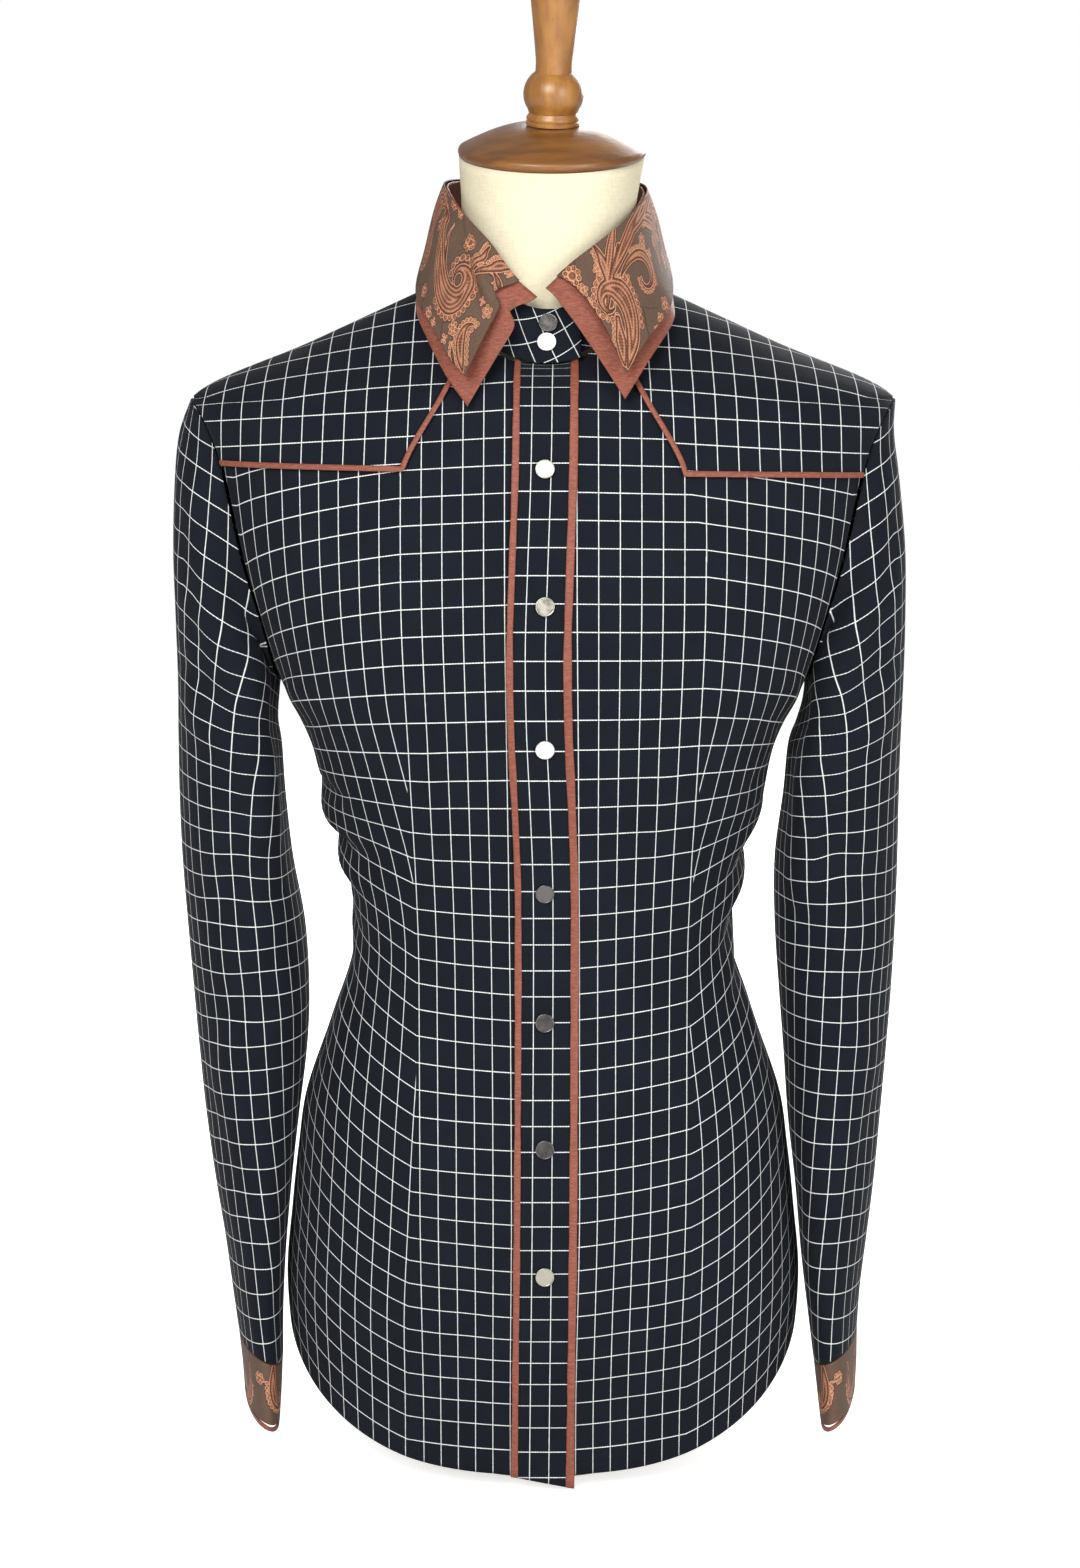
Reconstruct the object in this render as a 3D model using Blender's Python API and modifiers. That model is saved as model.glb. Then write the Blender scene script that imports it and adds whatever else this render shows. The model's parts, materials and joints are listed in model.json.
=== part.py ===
"""Western snap shirt on a limbless dress form.

Metres, +Z up. The shirt faces -Y, and the wearer's left is +X. The origin is the centre of the
stand's underside, on the surface that the form stands on. Angles round the body run from 0 at the
centre front, through 90 degrees at the wearer's left side seam, to 180 at the centre back.
"""

import math
from collections import namedtuple

import bmesh
import bpy
from mathutils import Matrix, Vector

MM = 0.001

# Driving dimensions, in millimetres.
CLOTH_WALL = 1.2
COLLAR_WALL = 1.0
SEAM_GAP = 0.8  # between two panels that are sewn edge to edge
ARMHOLE_GAP = 2.0  # the sleeve head stands a little proud of the armhole
LAYER_GAP = 0.4  # between a panel and what lies on it
STAND_LIFT = 2.8  # the collar stand starts above the placket and yokes
FORM_CLEARANCE = 7.0  # from the cloth's outer face to the dress form
SHOULDER_Z = 632.0
ARMPIT_Z = 470.0
NECK_Z = 697.0  # the neck seam at the side of the neck
YOKE_Z = 594.5
HEM_LOW = 11.0
HEM_RISE = 76.0  # from the front and back hem up to the side seam
HEM_BEND = 1.1
HEM_BLEND_Z = 120.0  # the hem's curve has faded out of the rows above this
PLACKET_RIGHT = -13.0  # x of the seam between the placket and the wearer's right front
PLACKET_LEFT = 15.0
PIPING_WIDTH = 4.0
YOKE_PIPING_WIDTH = 3.6
DART_X = 81.0
SNAP_RADIUS = 5.4
SNAP_THICKNESS = 1.6
SNAP_Z = [131.0, 204.5, 277.0, 353.5, 439.5, 520.0, 595.0]
STAND_LAP = 2.2
STAND_END_DROP = 1.6
STAND_SNAP_RISES = [12.0, 23.5]  # up the collar stand from the neck seam
CAP_TILT = math.radians(13.0)
CAP_LEAN = math.radians(1.2)
CAP_CENTRE = Vector((5.2, -6.0, 771.4))
CAP_GAP = 0.4

Section = namedtuple("Section", "z_front z_side z_back half_width front back power dip x")

# Level rings of the shirt body: heights at the front, side and back, then the ring's half width
# and its depths to the front and the back, its squareness, and how the height varies round it.
BODY = [
    Section(0, 0, 0, 141, 101, 102, 2.3, 2, 0),
    Section(50, 50, 50, 150, 103, 107, 2.3, 2, 0),
    Section(105, 105, 105, 155, 104, 111, 2.3, 2, 0),
    Section(150, 150, 150, 151.4, 102, 110, 2.3, 2, 0),
    Section(185, 185, 185, 147.5, 99, 105, 2.3, 2, 0),
    Section(218, 218, 218, 142.5, 95, 98, 2.3, 2, 0),
    Section(262, 262, 262, 127.5, 89, 87, 2.3, 2, 0),
    Section(310, 310, 310, 113, 86, 79, 2.3, 2, 0),
    Section(358, 358, 358, 119, 91, 81, 2.35, 2, 0),
    Section(377, 377, 377, 122.5, 94.5, 83, 2.4, 2, 0),
    Section(394, 394, 394, 129.5, 99, 86, 2.45, 2, 0),
    Section(430, 430, 430, 137, 109, 92, 2.55, 2, 0),
    Section(470, 470, 470, 155, 118, 98, 2.65, 2, 0),
    Section(510, 510, 510, 171, 121, 101, 2.6, 2, 0),
    Section(550, 550, 550, 184.5, 116, 102, 2.5, 2, 0),
    Section(597, 597, 600, 195, 105, 100, 2.35, 2, 0),
    Section(632, 632, 645, 204, 92.5, 90, 2.2, 2, 0),
    Section(647, 664.5, 687, 133, 80, 75, 2.15, 2, 0),
    Section(652, 697, 712, 62, 71, 56, 2.1, 2, 0),
]

# The dress form's own neck, above the shirt's neck seam.
FORM_NECK = [
    Section(655, 689, 703, 55, 60, 48, 2.1, 2, 1.0),
    Section(688, 706, 722, 51.5, 56, 46, 2.05, 1.5, 2.0),
    Section(722, 738, 751, 50.5, 54.5, 45, 2.0, 1, 3.0),
    Section(759.4, 772.8, 783.4, 54, 58, 46, 2.0, 1, 5.0),
]
FORM_BOTTOM_Z = 100.0

# The collar stand's top edge, as one ring.
STAND_TOP = Section(684, 736, 749, 56.0, 61, 50, 2.1, 2, 2.6)

ArmholeStation = namedtuple("ArmholeStation", "z x")

# Where the armhole seam crosses the front and back panels.
ARMHOLE = [
    ArmholeStation(470, 155),
    ArmholeStation(486, 157.5),
    ArmholeStation(502, 161),
    ArmholeStation(537, 171),
    ArmholeStation(570, 178.5),
    ArmholeStation(597, 185),
    ArmholeStation(615, 191.5),
    ArmholeStation(626, 198),
    ArmholeStation(632, 204),
]

DartStation = namedtuple("DartStation", "z x")

# The dart's line, which bends in above the yoke seam and follows the yoke's slanting edge.
DART_LINE = [
    DartStation(0, DART_X),
    DartStation(560, DART_X),
    DartStation(YOKE_Z, 79.5),
    DartStation(632, 59),
    DartStation(664.5, 48.5),
    DartStation(697, 37),
]

SleeveRing = namedtuple(
    "SleeveRing", "outer_right outer_left outer_z inner_right inner_left inner_z half_depth y yaw"
)

# Rings down the sleeves after the armhole: how far out each sleeve's outer and inner points are,
# the ring's half depth front to back, its centre in Y, and how far its front turns in, in degrees.
SLEEVE = [
    SleeveRing(213, 205.5, 613, 156, 155.5, 465.5, 51, 0, 0),
    SleeveRing(216, 209, 586, 156.5, 155.5, 461, 55, 0, 0),
    SleeveRing(217.5, 213, 545, 157, 155, 455.5, 57.5, 0, 0),
    SleeveRing(217, 214, 505, 157.5, 153.5, 449, 58.5, 1, 1),
    SleeveRing(216.5, 213.8, 468, 157.5, 150.5, 440, 59, 2, 2),
    SleeveRing(217, 213, 434, 155.5, 146, 427, 59, 3, 3),
    SleeveRing(217, 212.5, 398, 153.6, 143.2, 398, 58.5, 3, 4),
    SleeveRing(215.8, 212.2, 360, 149.6, 138.6, 360, 58, 3, 4),
    SleeveRing(213, 211.2, 320, 142.6, 138.9, 320, 57.5, 2, 4),
    SleeveRing(209.8, 209.2, 280, 140.4, 141.8, 280, 57, 0, 5),
    SleeveRing(206.8, 206.6, 245, 142, 144.6, 245, 56, -2, 5),
    SleeveRing(203, 203.4, 205, 147.2, 147.6, 205, 55, -4, 6),
    SleeveRing(197.8, 200, 165, 152, 152.4, 165, 54, -6, 7),
    SleeveRing(192, 195.7, 128, 156, 156.4, 124, 53, -8, 8),
    SleeveRing(188, 192, 98, 157.8, 160.6, 90, 52, -10, 8),
    SleeveRing(184.6, 190.2, 72, 158.2, 164.4, 61, 51, -11, 8),
]
CUFF = [
    SleeveRing(184.4, 190.2, 71, 158.4, 164.6, 60, 51, -11, 8),
    SleeveRing(182.2, 190.1, 50, 159.4, 167, 40, 50.5, -11.5, 8),
    SleeveRing(181, 189.4, 33, 160.6, 169, 23.5, 50, -12, 8),
]
CUFF_TRIM = [
    SleeveRing(181, 189.2, 31.8, 160.7, 169.2, 22.3, 50, -12, 8),
    SleeveRing(180.6, 188.4, 29, 161, 169.6, 19.5, 49.8, -12, 8),
]
SLEEVE_POWER = 2.2
SLEEVE_SIDES = 16

CollarStation = namedtuple("CollarStation", "fold under_edge top_edge")

# Each half of the collar from its front end to the centre back: the crest of the fold, then the
# lower edges of the plain under leaf and of the figured top leaf. X is the distance to the side.
COLLAR_RIGHT = [
    CollarStation((3.5, -71, 692), (42.4, -101, 630), (43.6, -104, 647)),
    CollarStation((16.5, -67, 703), (54, -89, 645), (52.5, -91, 657)),
    CollarStation((31, -54, 722.5), (66.5, -66, 666.5), (63.5, -68, 675)),
    CollarStation((46.5, -30, 738.5), (74.5, -40, 683.5), (72.5, -40, 690)),
    CollarStation((55, -9, 750), (73.5, -4, 700), (72.5, -4, 705)),
    CollarStation((57.5, 14, 757.5), (70, 33, 709), (69, 33, 714)),
    CollarStation((47, 40, 760), (54, 62, 716), (53.5, 62, 720.5)),
    CollarStation((25, 53, 760), (28, 76, 718), (27.5, 76, 722.5)),
    CollarStation((0, 57, 760), (0, 80, 719), (0, 80, 723.5)),
]
COLLAR_LEFT = [
    CollarStation((1.5, -72, 697), (45.7, -101, 634), (46, -104, 648.5)),
    CollarStation((15, -66, 709), (59.7, -88, 655), (57, -90, 665)),
    CollarStation((34.5, -55, 724), (74.5, -58, 675.5), (71, -60, 683)),
    CollarStation((46.5, -41, 733.5), (76.3, -38, 686.5), (74.3, -38, 693)),
    CollarStation((56, -17, 743.5), (75.5, -4, 700), (74.5, -4, 705)),
    CollarStation((60.5, 14, 754.5), (73, 33, 709), (72, 33, 714)),
    CollarStation((50, 39, 759), (57, 61, 716), (56.5, 61, 720.5)),
    CollarStation((27, 53, 760), (30, 76, 718), (29.5, 76, 722.5)),
    CollarStation((0, 57, 760), (0, 80, 719), (0, 80, 723.5)),
]
COLLAR_STEPS = 6  # rows from the fold to the edge
COLLAR_BULGE = 2.5
COLLAR_FRONT_BOW = 6.0  # how far the front edges bend away from the centre
UNDER_LEAF_IN = 2.6  # both leaves lie this far inside the collar's crest
TOP_LEAF_IN = 0.5
TOP_LEAF_START_RIGHT = 1.1  # stations back from the front end where the top leaf begins
TOP_LEAF_START_LEFT = 0.5

FRONT_ROWS = [
    120, 160, 200, 236, 272, 310, 345, 367, 385, 405, 436, 470,
    496, 528, 562, YOKE_Z, 614, 626, 632, 650, 673, 697,
]  # fmt: skip
HEM_ROWS = [0.0, 0.5]  # shares of the way from the hem up to the first level row
INNER_COLUMNS = 3
OUTER_COLUMNS = 6
BACK_HALF_COLUMNS = 8


def blend_at(rows, key, at):
    """Every column of a table, smoothly interpolated where its column `key` equals `at`."""
    keys = [getattr(row, key) for row in rows]
    at = min(max(at, keys[0]), keys[-1])
    i = max(j for j in range(len(keys) - 1) if keys[j] <= at)
    span = keys[i + 1] - keys[i]
    u = (at - keys[i]) / span

    def slope(j, column):
        low, high = max(j - 1, 0), min(j + 1, len(rows) - 1)
        return (rows[high][column] - rows[low][column]) / (keys[high] - keys[low])

    values = []
    for column in range(len(rows[0])):
        a, b = rows[i][column], rows[i + 1][column]
        ta, tb = slope(i, column) * span, slope(i + 1, column) * span
        values.append(
            (2 * u**3 - 3 * u**2 + 1) * a
            + (u**3 - 2 * u**2 + u) * ta
            + (3 * u**2 - 2 * u**3) * b
            + (u**3 - u**2) * tb
        )
    return type(rows[0])(*values)


def signed_power(value, power):
    return math.copysign(abs(value) ** power, value)


def ring_point(section, angle):
    """A point of a ring, in millimetres."""
    s, c = math.sin(angle), math.cos(angle)
    depth = section.front if c > 0 else section.back
    end_z = section.z_front if c > 0 else section.z_back
    return Vector(
        (
            section.x + section.half_width * signed_power(s, 2 / section.power),
            -depth * signed_power(c, 2 / section.power),
            section.z_side + (end_z - section.z_side) * abs(c) ** section.dip,
        )
    )


def body_point(angle, height):
    return ring_point(blend_at(BODY, "z_side", height), angle)


def body_normal(angle, height):
    step_angle, step_height = 0.004, 1.5
    high = min(height + step_height, NECK_Z)
    low = high - 2 * step_height
    round_it = body_point(angle + step_angle, height) - body_point(angle - step_angle, height)
    up = body_point(angle, high) - body_point(angle, low)
    return round_it.cross(up).normalized()


def body_outside(angle, height, away):
    """A point of the shirt body, moved out along its normal."""
    return body_point(angle, height) + body_normal(angle, height) * away


def angle_of_x(x, height):
    section = blend_at(BODY, "z_side", height)
    share = min(abs(x) / section.half_width, 1.0)
    return math.copysign(math.asin(share ** (section.power / 2)), x)


def side_angle(height, gap):
    """The angle just in front of the side or shoulder seam, half a gap away from it."""
    section = blend_at(BODY, "z_side", height)
    return math.acos((gap / 2 / section.front) ** (section.power / 2))


def armhole_x(height):
    return blend_at(ARMHOLE, "z", height).x


def outer_angle(height, back=False):
    """Where a panel ends: at the side seam, the armhole or the shoulder seam."""
    if ARMPIT_Z < height < SHOULDER_Z:
        angle = angle_of_x(armhole_x(height), height)
    else:
        angle = side_angle(height, SEAM_GAP)
    return math.pi - angle if back else angle


def hem_z(angle):
    return HEM_LOW + HEM_RISE * (1 - abs(math.cos(angle))) ** HEM_BEND


def row_height(row, angle):
    """Height of a panel's row: the lowest rows bend with the hem."""
    if row < len(HEM_ROWS):
        low = hem_z(angle)
        return low + HEM_ROWS[row] * (HEM_BLEND_Z - low)
    return FRONT_ROWS[row - len(HEM_ROWS)]


ROWS = len(HEM_ROWS) + len(FRONT_ROWS)


def front_angle(share, height, inner_x):
    """share runs 0..1 from the inner edge to the dart line and 1..2 on to the outer edge."""
    inner = angle_of_x(inner_x, height)
    dart = angle_of_x(blend_at(DART_LINE, "z", height).x, height)
    if share <= 1:
        return inner + (dart - inner) * share
    return dart + (outer_angle(height) - dart) * (share - 1)


def front_shares():
    inner = [i / INNER_COLUMNS for i in range(INNER_COLUMNS)]
    return inner + [1 + i / OUTER_COLUMNS for i in range(OUTER_COLUMNS + 1)]


def front_grid(inner_x, side):
    """Rows of points of a front panel; side is +1 for the wearer's left and -1 for the right."""
    grid = []
    for row in range(ROWS):
        points = []
        for share in front_shares():
            level = FRONT_ROWS[max(row - len(HEM_ROWS), 0)]
            height = row_height(row, front_angle(share, level, inner_x))
            points.append(side * front_angle(share, height, inner_x))
            points[-1] = body_point(points[-1], height)
        grid.append(points)
    return grid


def back_grid():
    shares = [i / BACK_HALF_COLUMNS for i in range(-BACK_HALF_COLUMNS, BACK_HALF_COLUMNS + 1)]
    grid = []
    for row in range(ROWS):
        points = []
        for share in shares:
            level = FRONT_ROWS[max(row - len(HEM_ROWS), 0)]
            angle = math.pi + (math.pi - outer_angle(level, back=True)) * share
            height = row_height(row, angle)
            angle = math.pi + (math.pi - outer_angle(height, back=True)) * share
            points.append(body_point(angle, height))
        grid.append(points)
    return grid


def new_material(name, colour, roughness, metallic=0.0):
    material = bpy.data.materials.new(name)
    material.use_nodes = True
    shader = material.node_tree.nodes["Principled BSDF"]
    shader.inputs["Base Color"].default_value = (*colour, 1.0)
    shader.inputs["Roughness"].default_value = roughness
    shader.inputs["Metallic"].default_value = metallic
    return material


def link(name, data, material):
    made = bpy.data.objects.new(name, data)
    PARTS.objects.link(made)
    if not data.materials:
        data.materials.append(material)
    return made


def surface(name, grid, material, wrap=False, flip=False, ends=False):
    """A mesh through rows of points in millimetres, joined round if wrap, with ends filled."""
    mesh = bpy.data.meshes.new(name)
    bm = bmesh.new()
    rows = [[bm.verts.new(point * MM) for point in row] for row in grid]
    columns = len(rows[0])
    for low, high in zip(rows, rows[1:]):
        for i in range(columns if wrap else columns - 1):
            j = (i + 1) % columns
            bm.faces.new((low[i], low[j], high[j], high[i]))
    if ends:
        bm.faces.new(reversed(rows[0]))
        bm.faces.new(rows[-1])
    if flip:
        bmesh.ops.reverse_faces(bm, faces=bm.faces[:])
    bm.to_mesh(mesh)
    bm.free()
    return link(name, mesh, material)


def cloth(name, grid, material, wall=CLOTH_WALL, outward=False, **kind):
    """A cloth wall: an open surface, thickened inwards, or outwards for a layer on a panel."""
    made = surface(name, grid, material, **kind)
    solidify = made.modifiers.new("wall", "SOLIDIFY")
    solidify.thickness = wall * MM
    solidify.offset = 1.0 if outward else -1.0
    return made


def make_fronts_and_back(check):
    right_edge = -(PLACKET_RIGHT - 2.8)
    cloth("front_right", front_grid(right_edge, -1), check, flip=True)
    cloth("front_left", front_grid(PLACKET_RIGHT - 1.0, 1), check)
    cloth("back", back_grid(), check)


def strip_on_body(name, left_x, right_x, columns, hem, material, away=2 * LAYER_GAP):
    """A band up the centre front, from its own hem to the neck seam, lying on the panels."""
    grid = []
    for row in range(ROWS):
        points = []
        for i in range(columns + 1):
            x = left_x + (right_x - left_x) * i / columns
            if row < len(HEM_ROWS):
                low = hem(x)
                height = low + HEM_ROWS[row] * (HEM_BLEND_Z - low)
            else:
                height = FRONT_ROWS[row - len(HEM_ROWS)]
            points.append(body_outside(angle_of_x(x, height), height, away))
        grid.append(points)
    cloth(name, grid, material, outward=True)


def placket_hem(x):
    """The overlapping band hangs lower towards its free edge."""
    drop = 0.2
    return 7.0 - drop * x


def make_placket(check, rust):
    gap = 0.3
    strip_on_body("placket", PLACKET_RIGHT, PLACKET_LEFT, 3, placket_hem, check)
    right = PLACKET_RIGHT - gap
    left = PLACKET_LEFT + gap
    strip_on_body("placket_piping_right", right - PIPING_WIDTH, right, 1, placket_hem, rust)
    strip_on_body("placket_piping_left", left, left + PIPING_WIDTH, 1, placket_hem, rust)


def yoke_angles(height):
    """The front's own columns outside the dart line."""
    dart = angle_of_x(blend_at(DART_LINE, "z", height).x, height)
    outer = outer_angle(height)
    return [dart + (outer - dart) * i / OUTER_COLUMNS for i in range(OUTER_COLUMNS + 1)]


def yoke_row(side, height):
    """The front's own points, moved out; the last one stops short of the seam."""
    away, short = 2 * LAYER_GAP, 1.6
    points = [body_outside(side * angle, height, away) for angle in yoke_angles(height)]
    last = points[-1] - points[-2]
    points[-1] = points[-2] + last * (1 - short / last.length)
    return points


def make_yoke(side, name, check, rust):
    """A pointed yoke laid on the front, and the flat piping along its lower and slanting edges."""
    heights = FRONT_ROWS[FRONT_ROWS.index(YOKE_Z) :]
    grid = [yoke_row(side, height) for height in heights]
    cloth(f"yoke_{name}", grid, check, outward=True, flip=side < 0)
    make_yoke_piping(side, name, heights, rust)


def make_yoke_piping(side, name, heights, rust):
    """Down the slanting edge from the neck to the dart line, then along the yoke's lower edge."""
    gap, away = 0.6, 3 * LAYER_GAP
    low, high = [], []
    for height in reversed(heights[1:]):
        x = blend_at(DART_LINE, "z", height).x - gap
        low.append((angle_of_x(x - YOKE_PIPING_WIDTH, height), height))
        high.append((angle_of_x(x, height), height))
    low_z, high_z = YOKE_Z - gap - YOKE_PIPING_WIDTH, YOKE_Z - gap
    corner = DART_X - 1.8
    low.append((angle_of_x(corner - YOKE_PIPING_WIDTH * 0.6, low_z), low_z))
    high.append((angle_of_x(corner, high_z), high_z))
    for inner, outer in zip(yoke_angles(low_z)[1:], yoke_angles(high_z)[1:]):
        low.append((inner, low_z))
        high.append((outer, high_z))
    grid = []
    for line in (low, high):
        points = [body_outside(side * angle, height, away) for angle, height in line]
        last = points[-1] - points[-2]
        points[-1] = points[-2] + last * (1 - 2.2 / last.length)
        grid.append(points)
    cloth(f"yoke_piping_{name}", grid, rust, outward=True, flip=side < 0)


def sleeve_ring(row, side):
    """Points round one sleeve ring, from its outer point through its front."""
    outer_x, inner_x = row.outer_right, row.inner_right
    if side > 0:
        outer_x, inner_x = row.outer_left, row.inner_left
    outer = Vector((outer_x, row.y, row.outer_z))
    inner = Vector((inner_x, row.y, row.inner_z))
    centre, half = (outer + inner) / 2, (outer - inner) / 2
    yaw = math.radians(row.yaw)
    forward = Vector((-math.sin(yaw), -math.cos(yaw), 0)) * row.half_depth
    points = []
    for i in range(SLEEVE_SIDES):
        turn = 2 * math.pi * i / SLEEVE_SIDES
        c = signed_power(math.cos(turn), 2 / SLEEVE_POWER)
        s = signed_power(math.sin(turn), 2 / SLEEVE_POWER)
        point = centre + half * c + forward * s
        points.append(Vector((side * point.x, point.y, point.z)))
    return points


def armhole_ring(side):
    """The sleeve's first ring, just outside the armhole edge of the panels."""
    middle, half = (SHOULDER_Z + ARMPIT_Z) / 2, (SHOULDER_Z - ARMPIT_Z) / 2
    points = []
    for i in range(SLEEVE_SIDES):
        turn = 2 * math.pi * i / SLEEVE_SIDES
        height = middle + half * math.cos(turn)
        angle = angle_of_x(armhole_x(height), height)
        if math.sin(turn) < 0:
            angle = math.pi - angle
        point = body_point(angle, height)
        points.append(Vector((side * (point.x + ARMHOLE_GAP), point.y, point.z)))
    return points


def make_sleeve(side, name, check, figured, rust):
    flip = side < 0
    grid = [armhole_ring(side)] + [sleeve_ring(row, side) for row in SLEEVE]
    cloth(f"sleeve_{name}", grid, check, wrap=True, flip=flip)
    cuff = [sleeve_ring(row, side) for row in CUFF]
    cloth(f"cuff_{name}", cuff, figured, wrap=True, flip=flip)
    trim = [sleeve_ring(row, side) for row in CUFF_TRIM]
    cloth(f"cuff_trim_{name}", trim, rust, wrap=True, flip=flip)


def stand_point(angle, rise):
    """rise is 0 at the neck seam and 1 at the top. Past 360 degrees the band laps over itself."""
    low = body_point(angle, NECK_Z) + Vector((0, 0, STAND_LIFT))
    over = min(max((angle - 1.2 * math.pi) / (0.4 * math.pi), 0.0), 1.0)
    drop = STAND_END_DROP * max((angle - 1.9 * math.pi) / (0.2 * math.pi), 0.0) * (1 - rise)
    out = Vector((math.sin(angle), -math.cos(angle), 0)) * (STAND_LAP * over + 2 * drop)
    return low.lerp(ring_point(STAND_TOP, angle), rise) + out - Vector((0, 0, drop))


def make_collar_stand(check):
    """A band round the neck whose right end laps over its left end at the front."""
    under_x, over_x = -17.0, 20.0
    start = angle_of_x(under_x, NECK_Z)
    end = 2 * math.pi + angle_of_x(over_x, NECK_Z)
    steps, rises = 30, 3
    grid = []
    for j in range(rises + 1):
        angles = [start + (end - start) * i / steps for i in range(steps + 1)]
        grid.append([stand_point(angle, j / rises) for angle in angles])
    cloth("collar_stand", grid, check, wall=COLLAR_WALL)


def collar_half(stations, edge, start, side):
    """Columns of fold and edge points for one half, with each column's share of the front bow."""
    last = len(stations) - 1
    columns = []
    for i in range(2 * last + 1):
        at = i / 2
        back = at + start * (1 - at / last) ** 3
        pair = []
        for name, place in (("fold", back), (edge, at)):
            j = min(int(place), last - 1)
            a, b = (Vector(getattr(stations[k], name)) for k in (j, j + 1))
            point = a.lerp(b, place - j)
            pair.append(Vector((side * point.x, point.y, point.z)))
        columns.append((*pair, side * max(0.0, 1 - at)))
    return columns


def make_collar_leaf(name, edge, start_right, start_left, inset, material):
    """A leaf that hangs from the fold: it rolls over the stand and falls to its lower edge."""
    right = collar_half(COLLAR_RIGHT, edge, start_right, -1)
    left = collar_half(COLLAR_LEFT, edge, start_left, 1)
    columns = left[:-1] + right[::-1]
    grid = []
    for j in range(COLLAR_STEPS + 1):
        share = j / COLLAR_STEPS
        points = []
        for fold, low, bow in columns:
            radial = Vector((fold.x, fold.y, 0)).normalized()
            bulge = COLLAR_BULGE * math.sin(math.pi * share) * (1 - share)
            turn = share**0.6
            bend = Vector((bow * COLLAR_FRONT_BOW * 4 * turn * (1 - turn), 0, 0))
            lift = Vector((0, 0, -inset * 0.6 * (1 - share)))
            points.append(fold.lerp(low, share) + radial * (bulge - inset) + lift + bend)
        grid.append(points)
    cloth(name, grid, material, wall=COLLAR_WALL, outward=True, flip=True)


def make_snap(name, at, normal, metal):
    """A flat cap with a rounded rim, its back just off the cloth."""
    bpy.ops.mesh.primitive_cylinder_add(
        vertices=20, radius=SNAP_RADIUS * MM, depth=SNAP_THICKNESS * MM
    )
    snap = bpy.context.object
    snap.name = name
    for collection in list(snap.users_collection):
        collection.objects.unlink(snap)
    PARTS.objects.link(snap)
    snap.data.materials.append(metal)
    bevel = snap.modifiers.new("rim", "BEVEL")
    bevel.width = 0.45 * MM
    bevel.segments = 1
    bevel.limit_method = "ANGLE"
    turn = normal.to_track_quat("Z", "Y").to_matrix().to_4x4()
    snap.matrix_world = Matrix.Translation((at + normal * SNAP_THICKNESS / 2) * MM) @ turn


def make_snaps(metal):
    centre_x = (PLACKET_RIGHT + PLACKET_LEFT) / 2
    for i, height in enumerate(SNAP_Z):
        angle = angle_of_x(centre_x, height)
        base = body_outside(angle, height, 2 * LAYER_GAP + CLOTH_WALL + 0.5)
        make_snap(f"snap_{i + 1}", base, body_normal(angle, height), metal)
    angle = 2 * math.pi + angle_of_x(centre_x, NECK_Z)
    low, high = stand_point(angle, 0), stand_point(angle, 1)
    up = (high - low).normalized()
    normal = Vector((1, 0, 0)).cross(up).normalized()
    for i, rise in enumerate(STAND_SNAP_RISES):
        base = low + up * rise + normal * 0.7
        make_snap(f"stand_snap_{i + 1}", base, normal, metal)


def make_cuff_snaps(metal):
    """One snap closes each cuff, on its outer side behind the fold."""
    for side, name in ((-1, "right"), (1, "left")):
        row = CUFF[1]
        ring = sleeve_ring(row, side)
        index = SLEEVE_SIDES - 3
        at = ring[index]
        along = ring[index + 1] - ring[index - 1]
        normal = Vector((0, 0, 1)).cross(along).normalized()
        if normal.x * side < 0:
            normal = -normal
        make_snap(f"cuff_snap_{name}", at + normal * 0.9, normal, metal)


def make_form_torso(linen):
    """The smooth stuffed torso and neck under the shirt, clear of it all round."""
    heights = [FORM_BOTTOM_Z, 130, 165, 200, 235, 270, 310, 350, 390, 430, 470, 510]
    heights += [550, 590, 615, 632, 648, 664.5]
    grid = []
    sides = 28
    for height in heights:
        section = blend_at(BODY, "z_side", height)
        less = section._replace(
            half_width=section.half_width - FORM_CLEARANCE,
            front=section.front - FORM_CLEARANCE,
            back=section.back - FORM_CLEARANCE,
            power=2.2,
        )
        drop = FORM_CLEARANCE if height >= SHOULDER_Z else 0.0
        ring = [ring_point(less, 2 * math.pi * i / sides) for i in range(sides)]
        grid.append([point - Vector((0, 0, drop)) for point in ring])
    for section in FORM_NECK:
        grid.append([ring_point(section, 2 * math.pi * i / sides) for i in range(sides)])
    surface("form_torso", grid, linen, wrap=True, ends=True)


def turned(name, profile, material, steps=28):
    """A turned piece: (radius, height) pairs in millimetres, top to bottom, ending on the axis."""
    mesh = bpy.data.meshes.new(name)
    bm = bmesh.new()
    verts = [bm.verts.new((radius * MM, 0, height * MM)) for radius, height in profile]
    for a, b in zip(verts, verts[1:]):
        bm.edges.new((a, b))
    bm.to_mesh(mesh)
    bm.free()
    made = link(name, mesh, material)
    screw = made.modifiers.new("turn", "SCREW")
    screw.steps = screw.render_steps = steps
    screw.use_merge_vertices = True
    screw.merge_threshold = 0.00005
    return made


def arc(radius, height, size, start, end, steps):
    """Points of a quarter or half round, angles in degrees from +radius towards +height."""
    turns = [math.radians(start + (end - start) * i / steps) for i in range(steps + 1)]
    return [(radius + size * math.cos(a), height + size * math.sin(a)) for a in turns]


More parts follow.
